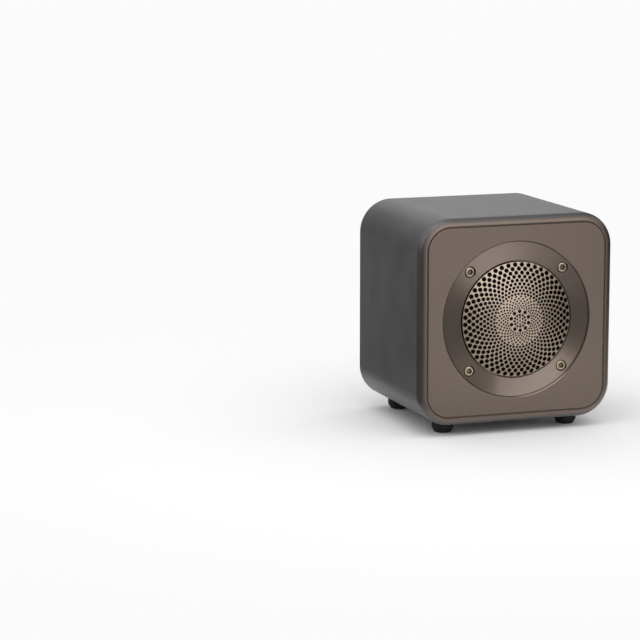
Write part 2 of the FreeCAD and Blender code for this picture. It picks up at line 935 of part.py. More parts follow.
def button(x):
    """Round key with a crowned top, a flange behind the cover and a stem to its switch."""
    top = cover_outside + button_proud
    flange_back = cover_inside - button_flange
    key = rod(x, button_height, button_radius, flange_back, top)
    key = key.makeFillet(button_crown, edges_at(key, top))
    flange = rod(x, button_height, button_flange_radius, flange_back, cover_inside)
    stem = rod(x, button_height, button_stem_radius, plunger_top, flange_back)
    return joined([key, flange, stem])


def switch(x):
    """Body of a push switch, with a well for its plunger."""
    body = block(x, button_height, switch_size, switch_size, board_rear, switch_front)
    well = switch_front - plunger_depth - button_travel - sliding_play
    return body.cut(rod(x, button_height, plunger_radius + sliding_play, well, switch_front))


def plunger(x):
    return rod(x, button_height, plunger_radius, switch_front - plunger_depth, plunger_top)


usb_base_top = socket_mouth - usb_depth


def usb_shell():
    """Drawn steel shell of the charging socket."""
    outer = rounded_block(usb_width, usb_thickness, usb_thickness / 2 - flat_play,
                          usb_base_top, socket_mouth, usb_offset, socket_height)
    inner_width_usb = usb_width - 2 * usb_sheet
    inner_thickness = usb_thickness - 2 * usb_sheet
    inner = rounded_block(inner_width_usb, inner_thickness, inner_thickness / 2 - flat_play,
                          usb_base_top, socket_mouth, usb_offset, socket_height)
    return outer.cut(inner)


def usb_tongue():
    """Moulded base on the board, with the thin contact tongue inside the shell."""
    base = block(usb_offset, socket_height, usb_base_width, usb_base_thickness, board_rear, usb_base_top)
    tongue = block(usb_offset, socket_height, usb_tongue_width, usb_tongue_thickness,
                   usb_base_top, socket_mouth - usb_tongue_sink)
    return joined([base, tongue])


def aux_socket():
    """Upright jack socket: a square body with a round neck and one bore right through."""
    shoulder = socket_mouth - aux_neck_length
    body = block(aux_offset, socket_height, aux_body_width, aux_body_thickness, board_rear, shoulder)
    neck = rod(aux_offset, socket_height, aux_neck_radius, shoulder, socket_mouth)
    return joined([body, neck]).cut(rod(aux_offset, socket_height, aux_bore, board_rear, socket_mouth))


led_top = board_rear + led_height


def light_pipe():
    """Clear rod from the board's light to the cover's face, with a collar behind the cover."""
    pipe = rod(0, light_height, light_radius, led_top + led_gap, cover_outside)
    collar = rod(0, light_height, light_collar_radius, cover_inside - light_collar, cover_inside)
    return joined([pipe, collar])


def status_led():
    return block(0, light_height, led_width, led_width, board_rear, led_top)


def radio_module():
    """Small board with a shield can and a bare end for the aerial."""
    x, z = radio_place
    card_front = board_front - radio_board
    card = block(x, z, radio_width, radio_height, card_front, board_front)
    can_height = radio_height - radio_aerial
    can_z = z + (can_height - radio_height) / 2
    margin = 2 * radio_shield_margin
    can = block(x, can_z, radio_width - margin, can_height - margin, card_front - radio_shield, card_front)
    return joined([card, can])


def amplifier_chip():
    return block(*chip_place, chip_size, chip_size, board_front - chip_thickness, board_front)


def power_inductor():
    """Square base and round wound core."""
    x, z = inductor_place
    base_front = board_front - inductor_base
    base = block(x, z, inductor_size, inductor_size, base_front, board_front)
    core = rod(x, z, inductor_core_radius, board_front - inductor_thickness, base_front)
    return joined([base, core])


def reservoir_capacitors():
    cans = []
    for step in range(capacitor_count):
        z = capacitor_level + step * capacitor_spacing
        cans.append(rod(capacitor_x, z, capacitor_radius, board_front - capacitor_length, board_front))
    return Part.makeCompound(cans)


def board_socket(place):
    """Wafer of a plug-in connector, open towards the front."""
    x, z = place
    front = board_front - socket_block_depth
    body = block(x, z, socket_block_width, socket_block, front, board_front)
    room = 2 * socket_wall
    well = block(x, z, socket_block_width - room, socket_block - room, front, board_front - socket_wall)
    return body.cut(well)


def lead_plug(place):
    """Plug seated in its board socket."""
    x, z = place
    room = 2 * (socket_wall + plug_play)
    return block(x, z, socket_block_width - room, socket_block - room, plug_front, plug_back)


def wire(points):
    """Round wire along straight runs joined by tangent arcs as large as the runs allow."""
    edges = []
    start = points[0]
    for before, corner, after in zip(points, points[1:], points[2:]):
        run_in = corner.sub(before)
        run_out = after.sub(corner)
        shorter = min(run_in.Length, run_out.Length)
        tangent = wire_bend_share * shorter
        way_in = Vector(run_in).normalize()
        way_out = Vector(run_out).normalize()
        arc_from = corner - way_in * tangent
        arc_to = corner + way_out * tangent
        half_turn = way_in.getAngle(way_out) / 2
        bisector = (way_out - way_in).normalize()
        radius = tangent / math.tan(half_turn)
        depth = radius / math.cos(half_turn) - radius
        edges.append(Part.LineSegment(start, arc_from).toShape())
        edges.append(Part.Arc(arc_from, corner + bisector * depth, arc_to).toShape())
        start = arc_to
    edges.append(Part.LineSegment(start, points[-1]).toShape())
    path = Part.Wire(edges)
    section = Part.Wire(Part.makeCircle(wire_radius, points[0], points[1].sub(points[0])))
    return path.makePipeShell([section], True, True)


def speaker_lead():
    """Two wires from the driver's tags to the plug on the board, bowed upwards."""
    wires = []
    plug_x, plug_z = speaker_socket_place
    top_z = tag_middle + tag_wire_rise
    first = tag_back + speaker_lead_out
    last = plug_front - speaker_lead_in
    for side in (-1, 1):
        x = side * tag_pitch / 2
        wires.append(wire([
            Vector(x, tag_back, top_z),
            Vector(x, first, top_z),
            Vector(plug_x + x, (first + last) / 2, max(top_z, plug_z) + speaker_lead_bow),
            Vector(plug_x + x, last, plug_z),
            Vector(plug_x + x, plug_front, plug_z),
        ]))
    return Part.makeCompound(wires)


# Battery

def flat_block(width, length, z_from, z_to):
    """Box on the battery's centre, between two heights."""
    corner = Vector(-width / 2, tray_middle - length / 2, z_from)
    return Part.makeBox(width, length, z_to - z_from, corner)


def battery_pack():
    """Wrapped flat pack with rounded long edges."""
    pack = flat_block(pack_width, pack_length, pack_bottom, pack_bottom + pack_thickness)
    along = [edge for edge in pack.Edges if abs(edge.tangentAt(edge.FirstParameter).y) > 0.99]
    return pack.makeFillet(pack_edge_round, along)


def battery_tray():
    """Moulded tray screwed to the floor of the body, under the pack."""
    tray_length = pack_length + 2 * (tray_wall + tray_play)
    outer = flat_block(tray_width, tray_length, floor_inside, pack_bottom + tray_rim)
    well = flat_block(pack_width + 2 * tray_play, pack_length + 2 * tray_play,
                      pack_bottom, pack_bottom + tray_rim)
    cuts = [well]
    for x, y in tray_places:
        seat = pack_bottom - tray_head_sink - tray_head_height
        cuts.append(upright(x, y, tray_head_radius + flat_play, seat, pack_bottom))
        cuts.append(upright(x, y, tray_screw_radius + flat_play, floor_inside, pack_bottom))
    return outer.cut(cuts)


def tray_screws():
    screws = []
    for x, y in tray_places:
        top = pack_bottom - tray_head_sink
        seat = top - tray_head_height
        head = upright(x, y, tray_head_radius, seat, top)
        shank = upright(x, y, tray_screw_radius, floor_inside - tray_screw_bite + thread_play, seat)
        screws.append(head.fuse(shank).removeSplitter())
    return Part.makeCompound(screws)


def battery_lead():
    """Two wires from the back of the pack up to the plug on the board."""
    wires = []
    plug_x, plug_z = battery_socket_place
    pack_rear = pack_front + pack_length
    out_z = pack_bottom + tray_rim + wire_radius + sliding_play
    between = (pack_rear + plug_front) / 2
    for side in (-1, 1):
        x = plug_x + side * tag_pitch / 2
        wires.append(wire([
            Vector(x, pack_rear, out_z),
            Vector(x, between, out_z),
            Vector(x, between, plug_z),
            Vector(x, plug_front, plug_z),
        ]))
    return Part.makeCompound(wires)


# Every piece under its node's name

pieces = {
    "body_shell": body_shell(),
    "front_baffle": front_baffle(),
    "front_gasket": front_gasket(),
    "trim_ring": trim_ring(),
    "trim_screws": trim_screws(),
    "grille": grille(),
    "rear_cover": rear_cover(),
    "rear_gasket": rear_gasket(),
    "tie_screws": tie_screws(),
    "foot_screws": foot_screws(),
    "driver_gasket": driver_gasket(),
    "driver_frame": driver_frame(),
    "surround": surround(),
    "cone": cone(),
    "dust_cap": dust_cap(),
    "spider": spider(),
    "coil_former": coil_former(),
    "coil_winding": coil_winding(),
    "top_plate": top_plate(),
    "magnet": magnet(),
    "yoke": yoke(),
    "terminal_strip": terminal_strip(),
    "solder_tags": solder_tags(),
    "main_board": main_board(),
    "board_screws": board_screws(),
    "usb_shell": usb_shell(),
    "usb_tongue": usb_tongue(),
    "aux_socket": aux_socket(),
    "light_pipe": light_pipe(),
    "status_led": status_led(),
    "radio_module": radio_module(),
    "amplifier_chip": amplifier_chip(),
    "power_inductor": power_inductor(),
    "reservoir_capacitors": reservoir_capacitors(),
    "speaker_socket": board_socket(speaker_socket_place),
    "speaker_plug": lead_plug(speaker_socket_place),
    "speaker_lead": speaker_lead(),
    "battery_socket": board_socket(battery_socket_place),
    "battery_plug": lead_plug(battery_socket_place),
    "battery_lead": battery_lead(),
    "battery_pack": battery_pack(),
    "battery_tray": battery_tray(),
    "tray_screws": tray_screws(),
}
for name, place in foot_places.items():
    pieces["foot_" + name] = foot(*place)
for name, x in button_places.items():
    pieces[name + "_button"] = button(x)
    pieces[name + "_switch"] = switch(x)
    pieces[name + "_plunger"] = plunger(x)

os.makedirs("parts", exist_ok=True)
for name, shape in pieces.items():
    shape.translate(shift_to_floor)
    shape.exportStep("parts/" + name + ".step")
    print(name, len(shape.Solids), shape.isValid(), round(shape.Volume, 2))
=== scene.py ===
# %% [markdown]
# # A small wireless speaker, dressed around its CAD frame
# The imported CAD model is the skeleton: every piece already has its real size and place.
# This lesson keeps the solids whose shape is right and gives each the finish of its real
# material. It remakes in mesh code what needs more than a solid can carry: the perforated
# dome, the turned ring, the bezel, the screws, the feet, the keys and the soft driver parts.

# %% Load the frame
import json
import math

import bmesh
import bpy
from mathutils import Matrix, Vector
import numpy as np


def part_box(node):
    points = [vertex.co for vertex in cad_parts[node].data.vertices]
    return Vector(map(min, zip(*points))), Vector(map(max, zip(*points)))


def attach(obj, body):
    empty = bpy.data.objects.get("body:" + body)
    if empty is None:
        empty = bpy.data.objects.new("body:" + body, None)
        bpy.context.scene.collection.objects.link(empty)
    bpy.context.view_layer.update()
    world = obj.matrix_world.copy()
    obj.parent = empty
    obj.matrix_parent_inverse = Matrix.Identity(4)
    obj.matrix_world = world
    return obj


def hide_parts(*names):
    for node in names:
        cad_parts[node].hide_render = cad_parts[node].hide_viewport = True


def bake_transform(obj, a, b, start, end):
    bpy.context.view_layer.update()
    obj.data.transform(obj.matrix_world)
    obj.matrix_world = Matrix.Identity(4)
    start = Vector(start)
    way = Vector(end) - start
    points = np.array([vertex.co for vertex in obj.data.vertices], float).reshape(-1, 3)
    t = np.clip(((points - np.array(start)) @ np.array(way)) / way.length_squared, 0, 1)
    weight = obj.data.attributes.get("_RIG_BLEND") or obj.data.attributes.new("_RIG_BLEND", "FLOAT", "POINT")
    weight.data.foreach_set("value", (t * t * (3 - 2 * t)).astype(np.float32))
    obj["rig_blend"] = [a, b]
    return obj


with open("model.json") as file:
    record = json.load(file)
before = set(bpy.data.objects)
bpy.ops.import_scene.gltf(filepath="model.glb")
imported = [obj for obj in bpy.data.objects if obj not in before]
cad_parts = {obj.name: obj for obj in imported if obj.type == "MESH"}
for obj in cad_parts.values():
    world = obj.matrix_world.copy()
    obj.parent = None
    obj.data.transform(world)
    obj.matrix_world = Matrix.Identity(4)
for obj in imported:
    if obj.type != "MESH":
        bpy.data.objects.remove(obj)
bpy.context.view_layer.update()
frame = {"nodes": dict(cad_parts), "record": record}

nodes = frame["nodes"]

# %% [markdown]
# ## Measure before drawing
# A dressed piece must sit exactly where its solid sits, so places are read from the boxes of
# the CAD nodes instead of being typed again. Only what a box can't tell, such as the width of
# an engraved line, is written out, in millimetres, where it is first needed.

# %% Read the places from the frame
MM = 0.001

shell_low, shell_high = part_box("body_shell")
ring_low, ring_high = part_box("trim_ring")
grille_low, grille_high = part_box("grille")
half_width = shell_high.x
axis_z = (shell_low.z + shell_high.z) / 2
face_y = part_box("front_baffle")[0].y
plate_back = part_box("driver_gasket")[0].y
driver_axis = Vector((0, 0, axis_z))
print("body", round(2 * half_width / MM, 1), "mm wide, driver axis", round(axis_z / MM, 1), "mm up")

# %% [markdown]
# ## Helpers for node trees
# Materials and Geometry Nodes are both trees of nodes, so one small function can add any node
# with its settings and links. Colours are written as sRGB hex, the way a paint is picked from
# a screen, while shaders count in linear light; one function turns the first into the second.

# %% Colour and node helpers
def linear(code):
    """An sRGB hex colour as the linear RGBA that a shader takes."""
    parts = [int(code[start:start + 2], 16) / 255 for start in (1, 3, 5)]
    light = [p / 12.92 if p <= 0.04045 else ((p + 0.055) / 1.055) ** 2.4 for p in parts]
    return (*light, 1.0)


def add(tree, kind, inputs=None, **settings):
    """Adds a node; an input takes a value, or the node or socket that feeds it."""
    node = tree.nodes.new(kind)
    for label, value in settings.items():
        setattr(node, label, value)
    for label, value in (inputs or {}).items():
        if isinstance(value, bpy.types.Node):
            value = value.outputs[0]
        if isinstance(value, bpy.types.NodeSocket):
            tree.links.new(value, node.inputs[label])
        else:
            node.inputs[label].default_value = value
    return node


def blank(name):
    """A new material and its tree, with no nodes yet."""
    material = bpy.data.materials.new(name)
    material.use_nodes = True
    material.node_tree.nodes.clear()
    return material, material.node_tree


def close(tree, inputs):
    """Ends a material's tree with its shader, whose constants stay on the shader itself."""
    shader = add(tree, "ShaderNodeBsdfPrincipled", inputs)
    add(tree, "ShaderNodeOutputMaterial", {"Surface": shader})


print("mid grey #808080 is", round(linear("#808080")[0], 3), "in linear light")

# %% [markdown]
# ## Grain, the pattern that most finishes share
# Blasted metal, moulded plastic, rubber and paper all have a grain: small bumps of one typical
# size, with colour and gloss that drift a little. A Noise texture on Object coordinates gives
# it without any unwrapping. Its scale is one over the real grain size. The noise seldom leaves
# its middle, so that stretch of it is spread over the whole range from one colour to the other.

# %% A grain of a real size
COLOUR_A, COLOUR_B, COLOUR_OUT = 6, 7, 2
NOISE_LOW, NOISE_HIGH = 0.3, 0.7
FINE_DETAIL = 3.0


def grain(tree, colours, roughness, size, height, tone=None):
    """Shader inputs from one noise, of a size and height in mm; a tone may mix the colours instead."""
    spot = add(tree, "ShaderNodeTexCoord").outputs["Object"]
    noise = add(tree, "ShaderNodeTexNoise", {
        "Vector": spot, "Scale": 1 / (size * MM), "Detail": FINE_DETAIL})
    share = add(tree, "ShaderNodeMapRange", {"Value": noise, "From Min": NOISE_LOW, "From Max": NOISE_HIGH})
    colour = add(tree, "ShaderNodeMix", {
        0: share if tone is None else tone, COLOUR_A: linear(colours[0]), COLOUR_B: linear(colours[1])},
        data_type="RGBA")
    dull = add(tree, "ShaderNodeMapRange", {"Value": share, "To Min": roughness[0], "To Max": roughness[1]})
    bump = add(tree, "ShaderNodeBump", {"Height": noise, "Distance": height * MM})
    return {"Base Color": colour.outputs[COLOUR_OUT], "Roughness": dull, "Normal": bump}


print("noise from", NOISE_LOW, "to", NOISE_HIGH, "is spread from one colour to the other")

# %% [markdown]
# ## The body: brushed, blasted and anodised aluminium
# The tube is extruded, brushed round its girth, blasted with fine beads and anodised dark grey.
# To the eye that is a dull, even grey with a soft sheen at low angles and very faint streaks
# round the body. It could be a plain grey with high roughness, but the grit and the streaks are
# what keep it from looking like paint. The streaks are a noise that a Mapping node stretches.

# %% Finish of the body
BODY_GRIT, BODY_BUMP = 0.25, 0.008
STREAK_WIDTH = 1.2
STREAK = (0.03, 1.0, 0.03)
DRIFT_SIZE = 14.0
SOFT_DETAIL = 2.0
BODY_SHEEN = {"Specular IOR Level": 1.0, "Coat Weight": 0.12, "Coat Roughness": 0.4, "Coat IOR": 1.6}


def blasted_aluminium():
    # Dark grey with little shine from the front, paler at low angles, faintly streaked
    material, tree = blank("blasted_anodised_aluminium")
    spot = add(tree, "ShaderNodeTexCoord").outputs["Object"]
    drawn = add(tree, "ShaderNodeMapping", {"Vector": spot, "Scale": STREAK})
    streaks = add(tree, "ShaderNodeTexNoise", {
        "Vector": drawn, "Scale": 1 / (STREAK_WIDTH * MM), "Detail": SOFT_DETAIL})
    cloud = add(tree, "ShaderNodeTexNoise", {
        "Vector": spot, "Scale": 1 / (DRIFT_SIZE * MM), "Detail": SOFT_DETAIL})
    both = add(tree, "ShaderNodeMath", {0: streaks, 1: cloud}, operation="ADD")
    tone = add(tree, "ShaderNodeMapRange", {
        "Value": both, "From Min": 2 * NOISE_LOW, "From Max": 2 * NOISE_HIGH})
    skin = grain(tree, ("#323234", "#464647"), (0.42, 0.5), BODY_GRIT, BODY_BUMP, tone)
    close(tree, {**skin, **BODY_SHEEN})
    return material


body_metal = blasted_aluminium()
print("made", body_metal.name)

# %% [markdown]
# ## The front plate: satin bronze anodising
# The plate is milled, blasted very finely and anodised bronze. The dye lies in a clear skin of
# oxide, so the eye gets two reflections: a brown one from the metal, and a colourless one from
# the top of the skin, which grows at low angles. A rough brown metal would give only the first,
# so the metal gets a coat. The rounded rim is painted a darker grey with depth behind the face:
# that is painted shade, which stands in for the dim grey reflection along the rim. The recess for
# the ring is bored after anodising, so its edge is bare and bright: whatever lies within that
# radius of the driver's axis gets another colour and a higher gloss. The real grit is far finer
# than a pixel; it is drawn a third of a millimetre wide to show at all.

# %% Finish of the front plate
PLATE_GRIT, PLATE_BUMP = 0.35, 0.003
RIM_SHADE_DEPTHS = (0.1 * MM, 0.8 * MM)
BARE_ROUGHNESS = 0.2
FLAT_PLAY = 0.1 * MM
RECESS_BREAK = 0.35 * MM
recess_radius = ring_high.x + FLAT_PLAY
OXIDE_SKIN = {"Metallic": 1.0, "Coat Weight": 1.0, "Coat Roughness": 0.4, "Coat IOR": 1.6}


def radius_from_axis(tree, spot):
    """The distance of a point from the driver's axis."""
    centred = add(tree, "ShaderNodeMapping", {"Vector": spot, "Location": -driver_axis})
    parts = add(tree, "ShaderNodeSeparateXYZ", {"Vector": centred}).outputs
    across = add(tree, "ShaderNodeCombineXYZ", {"X": parts["X"], "Y": parts["Z"]})
    return add(tree, "ShaderNodeVectorMath", {0: across}, operation="LENGTH").outputs["Value"]


def satin_bronze():
    # Brown metal with a broad, soft highlight, painted grey shade on the rim and a bright edge at the recess
    material, tree = blank("satin_bronze_aluminium")
    skin = grain(tree, ("#6D5E53", "#7C6B5F"), (0.44, 0.52), PLATE_GRIT, PLATE_BUMP)
    spot = add(tree, "ShaderNodeTexCoord").outputs["Object"]
    along = add(tree, "ShaderNodeSeparateXYZ", {"Vector": spot}).outputs["Y"]
    # Painted shade: the rim turns a darker grey with depth behind the face, for its dim reflection
    painted_rim_shade = add(tree, "ShaderNodeMapRange", {
        "Value": along, "From Min": face_y + RIM_SHADE_DEPTHS[0], "From Max": face_y + RIM_SHADE_DEPTHS[1]},
        interpolation_type="SMOOTHSTEP")
    colour = add(tree, "ShaderNodeMix", {
        0: painted_rim_shade, COLOUR_A: skin["Base Color"], COLOUR_B: linear("#534F51")}, data_type="RGBA")
    bare = add(tree, "ShaderNodeMath", {
        0: radius_from_axis(tree, spot), 1: recess_radius + RECESS_BREAK}, operation="LESS_THAN")
    cut = add(tree, "ShaderNodeMix", {
        0: bare, COLOUR_A: colour.outputs[COLOUR_OUT], COLOUR_B: linear("#8E8072")}, data_type="RGBA")
    skin["Base Color"] = cut.outputs[COLOUR_OUT]
    skin["Roughness"] = add(tree, "ShaderNodeMapRange", {
        "Value": bare, "To Min": skin["Roughness"], "To Max": BARE_ROUGHNESS})
    close(tree, {**skin, **OXIDE_SKIN})
    return material


bronze_metal = satin_bronze()
print("made", bronze_metal.name)

# %% [markdown]
# ## The trim ring: turned bronze
# The ring is faced on a lathe, which leaves fine circular lines. Such lines spread a highlight
# across them, so the ring shows a bright bow tie. Real grooves would need millions of faces; the
# shader's anisotropy gives the same spread, with a tangent that runs round the Y axis, and rings
# of noise by radius draw the tool marks. The real marks are finer; they are drawn about a fifth
# of a millimetre apart so that they show.

# %% Finish of the trim ring
TOOL_MARK, MARK_DEPTH = 0.18, 0.003
TURNED_ROUGHNESS = (0.4, 0.5)
LATHE_SHEEN = {"Metallic": 1.0, "Anisotropic": 0.95, "Anisotropic Rotation": 0.25}


def turned_bronze():
    # Brown metal whose highlight is drawn out into two fans, above and below
    material, tree = blank("turned_bronze_aluminium")
    radius = radius_from_axis(tree, add(tree, "ShaderNodeTexCoord").outputs["Object"])
    marks = add(tree, "ShaderNodeTexNoise", {
        "W": radius, "Scale": 1 / (TOOL_MARK * MM), "Detail": FINE_DETAIL}, noise_dimensions="1D")
    share = add(tree, "ShaderNodeMapRange", {"Value": marks, "From Min": NOISE_LOW, "From Max": NOISE_HIGH})
    colour = add(tree, "ShaderNodeMix", {
        0: share, COLOUR_A: linear("#7B6F67"), COLOUR_B: linear("#8A7D75")}, data_type="RGBA")
    dull = add(tree, "ShaderNodeMapRange", {
        "Value": share, "To Min": TURNED_ROUGHNESS[0], "To Max": TURNED_ROUGHNESS[1]})
    bump = add(tree, "ShaderNodeBump", {"Height": marks, "Distance": MARK_DEPTH * MM})
    round_y = add(tree, "ShaderNodeTangent", direction_type="RADIAL", axis="Y")
    close(tree, {
        "Base Color": colour.outputs[COLOUR_OUT], "Roughness": dull, "Normal": bump, "Tangent": round_y,
        **LATHE_SHEEN})
    return material


ring_metal = turned_bronze()
print("made", ring_metal.name)

# %% [markdown]
# ## The grille sheet: champagne anodising
# The grille is a pressed aluminium sheet, anodised a pale champagne before it is punched. The walls
# of its holes are painted near black, as painted shade, so each hole reads as a dark dot. One
# material would make the holes as pale as the face, so sheet and walls have one each, and the tree
# that punches the holes gives each face the right one. Both are one grain with a few settings, as
# most finishes from here on are, so one function makes them.

# %% Finishes of the grille sheet
METAL = {"Metallic": 1.0}


def plain_finish(name, colours, roughness, size, height, settings):
    """A material with one grain all over, and a few settings of its own."""
    material, tree = blank(name)
    close(tree, {**grain(tree, colours, roughness, size, height), **settings})
    return material


# Pale warm metal with a soft gleam at the top of the dome
grille_metal = plain_finish(
    "champagne_anodised_sheet", ("#B2A08D", "#C5B29E"), (0.43, 0.5), 0.3, 0.004, OXIDE_SKIN)
# Painted shade: near-black walls that make each hole a black dot
hole_shade_metal = plain_finish("painted_hole_shade", ("#1E1C1A", "#292623"), (0.5, 0.6), 0.4, 0.003, METAL)
print("made", grille_metal.name, "and", hole_shade_metal.name)

# %% [markdown]
# ## Screws: warm plating, black oxide and zinc
# The four screws on the ring are steel with a warm bright plating, which shines at the rim of the
# head. The key's well is painted: its walls dark, as painted shade, and its floor grey, as a
# painted glint. A material for each would need its faces picked out; here the colour changes with
# the depth below the rim. The hidden screws are black oxide or zinc plated.

# %% Finishes of the screws
WELL_SHADE_REACH = 0.4 * MM
KEY_DEPTH = 1.0 * MM
FLOOR_GLINT_EDGE = 0.05 * MM
PLATING_GRAIN, PLATING_BUMP = 0.4, 0.003


def plating_with_painted_well(top_y):
    # A bright warm circle round a well with painted shade on its walls and a painted glint on its floor
    material, tree = blank("champagne_plated_steel")
    skin = grain(tree, ("#C4AE92", "#D8C2A6"), (0.28, 0.36), PLATING_GRAIN, PLATING_BUMP)
    spot = add(tree, "ShaderNodeTexCoord").outputs["Object"]
    along = add(tree, "ShaderNodeSeparateXYZ", {"Vector": spot}).outputs["Y"]
    # Painted shade: the walls of the key's well turn dark below the rim
    below = add(tree, "ShaderNodeMapRange", {
        "Value": along, "From Min": top_y + WELL_SHADE_REACH / 2, "From Max": top_y + WELL_SHADE_REACH})
    wall = add(tree, "ShaderNodeMix", {
        0: below, COLOUR_A: skin["Base Color"], COLOUR_B: linear("#2E2B28")}, data_type="RGBA")
    # Painted glint: the floor of the key's well turns grey
    floor_y = top_y + KEY_DEPTH
    painted_floor_glint = add(tree, "ShaderNodeMapRange", {
        "Value": along, "From Min": floor_y - 2 * FLOOR_GLINT_EDGE, "From Max": floor_y - FLOOR_GLINT_EDGE})
    colour = add(tree, "ShaderNodeMix", {
        0: painted_floor_glint, COLOUR_A: wall.outputs[COLOUR_OUT], COLOUR_B: linear("#6A665E")}, data_type="RGBA")
    skin["Base Color"] = colour.outputs[COLOUR_OUT]
    close(tree, {**skin, **METAL})
    return material


bright_screw = plating_with_painted_well(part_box("trim_screws")[0].y)
# Near black, with a narrow glint
dark_screw = plain_finish(
    "black_oxide_steel", ("#242424", "#333334"), (0.3, 0.45), PLATING_GRAIN, PLATING_BUMP, METAL)
# Bright, cool and a little uneven
zinc_steel = plain_finish(
    "zinc_plated_steel", ("#B9BBBD", "#D2D3D2"), (0.25, 0.4), PLATING_GRAIN, PLATING_BUMP, METAL)
print("made", bright_screw.name, dark_screw.name, zinc_steel.name)

# %% [markdown]
# ## Rubber and moulded plastic
# The feet are black rubber: nearly no shine, a fine tooth from the mould. The rear cover is
# ABS from a sparked mould, which gives a coarser, even pebble that breaks up the light. The
# keys are the same plastic with a smoother top. All are dielectrics with the default IOR and a
# slightly low specular level. They could have a tree each, but they differ only in colour, grain
# and roughness, so the same function makes them all.

# %% Finishes of rubber and plastic
MOULDED = {"Specular IOR Level": 0.4}

# Matt black that only a low light brings out
black_rubber = plain_finish(
    "black_rubber", ("#0E0E0E", "#191919"), (0.62, 0.78), 0.5, 0.01, MOULDED)
# A pebbled dark grey with a broken sheen
cover_plastic = plain_finish(
    "sparked_black_abs", ("#242426", "#313133"), (0.5, 0.66), 0.6, 0.05, MOULDED)
# Smoother and blacker, with a clear soft highlight
button_plastic = plain_finish(
    "satin_black_abs", ("#1C1C1E", "#262628"), (0.36, 0.46), 0.5, 0.006, MOULDED)
# Flat pale grey
sign_paint = plain_finish(
    "pale_grey_ink", ("#A9A9A6", "#BDBDBA"), (0.5, 0.6), 0.4, 0.004, MOULDED)
# Black with a waxy gleam
black_plastic = plain_finish(
    "black_nylon", ("#151516", "#202022"), (0.4, 0.55), 0.6, 0.01, MOULDED)
# Creamy white with a waxy gleam
white_plastic = plain_finish(
    "white_nylon", ("#D8D4C8", "#E8E5DB"), (0.4, 0.52), 0.7, 0.008, MOULDED)
print("made rubber and plastics")

# %% [markdown]
# ## What is inside
# The driver, the board and the battery are only seen through the holes, or when someone opens
# the part, yet each has the finish of its real material. A call for each would say much the same
# again and again, so a table gives each slot of the record its recipe: name, colours, roughness,
# grain size and bump height in millimetres, and settings.

# %% Recipes of the inner pieces
PLAIN = {}
INSIDE = {
    # Porous and dead black
    "black_foam": ("closed_cell_foam", ("#161616", "#242424"), (0.8, 0.95), 0.4, 0.05, PLAIN),
    # Black with the fine orange peel of powder paint
    "frame_steel": ("powder_coated_steel", ("#1F1F21", "#2A2A2C"), (0.45, 0.6), 0.5, 0.03, PLAIN),
    # Deep black with no shine
    "surround_rubber": ("butyl_rubber", ("#0C0C0C", "#121212"), (0.75, 0.9), 0.6, 0.01, PLAIN),
    # Dark grey, fibrous and half dull
    "cone_paper": ("coated_paper_pulp", ("#1C1C1E", "#262628"), (0.5, 0.65), 0.7, 0.06, PLAIN),
    # Honey brown, dry and coarse
    "spider_cloth": ("resin_treated_cotton", ("#A37B3A", "#C29A57"), (0.7, 0.85), 0.35, 0.05, PLAIN),
    # Glossy amber
    "former_foil": ("amber_film", ("#B98A3E", "#CB9C4F"), (0.2, 0.3), 1.0, 0.002, PLAIN),
    # Warm red-brown metal
    "copper_wire": ("enamelled_copper", ("#9A5426", "#B8692F"), (0.25, 0.35), 0.3, 0.03, METAL),
    # Dull charcoal, like fired clay
    "ferrite": ("sintered_ferrite", ("#252525", "#353535"), (0.5, 0.7), 0.3, 0.02, PLAIN),
    # Brown card under a thin varnish
    "strip_board": ("phenolic_paper", ("#6E4A26", "#85602F"), (0.4, 0.55), 0.5, 0.01, PLAIN),
    # Soft silver with a hint of yellow
    "tinned_brass": ("tinned_brass", ("#BDBBB2", "#D0CEC6"), (0.25, 0.4), 0.5, 0.004, METAL),
    # Glassy dark green
    "circuit_board": ("solder_mask_on_glass_fibre", ("#123322", "#1A4430"), (0.25, 0.35), 1.2, 0.006, PLAIN),
    # Clean grey metal
    "socket_steel": ("drawn_stainless_steel", ("#A9A9A8", "#BEBEBD"), (0.22, 0.34), 0.4, 0.004, METAL),
    # A pale, glossy bead
    "led_resin": ("clear_epoxy", ("#D9D2B8", "#EFE9D2"), (0.15, 0.25), 0.6, 0.003, PLAIN),
    # Dull silver sheet
    "shield_steel": ("tin_plated_steel", ("#B4B5B3", "#C8C9C7"), (0.3, 0.42), 0.6, 0.004, METAL),
    # Bright silver
    "capacitor_can": ("drawn_aluminium", ("#C2C3C5", "#D3D4D6"), (0.25, 0.35), 0.3, 0.003, METAL),
    # Red with a plastic sheen
    "red_wire": ("red_pvc", ("#8F1C18", "#A5241F"), (0.35, 0.45), 0.8, 0.006, PLAIN),
    # The same in black
    "black_wire": ("black_pvc", ("#141414", "#1D1D1D"), (0.35, 0.45), 0.8, 0.006, PLAIN),
    # Black and slippery
    "plunger_plastic": ("black_acetal", ("#131314", "#1C1C1D"), (0.3, 0.4), 0.6, 0.004, PLAIN),
    # Glossy blue film, a little puckered
    "battery_wrap": ("blue_shrink_film", ("#1D3F7A", "#27509A"), (0.2, 0.32), 2.5, 0.03, PLAIN),
}
print("recipes:", len(INSIDE))

# %% [markdown]
# Every CAD node then takes the finish of its slot. The pieces that are made anew below keep to the
# same finishes. The light pipe is clear plastic, the one finish here that light goes through.

# %% Finishes of all CAD nodes
CLEAR = {"Transmission Weight": 0.9, "IOR": 1.58}

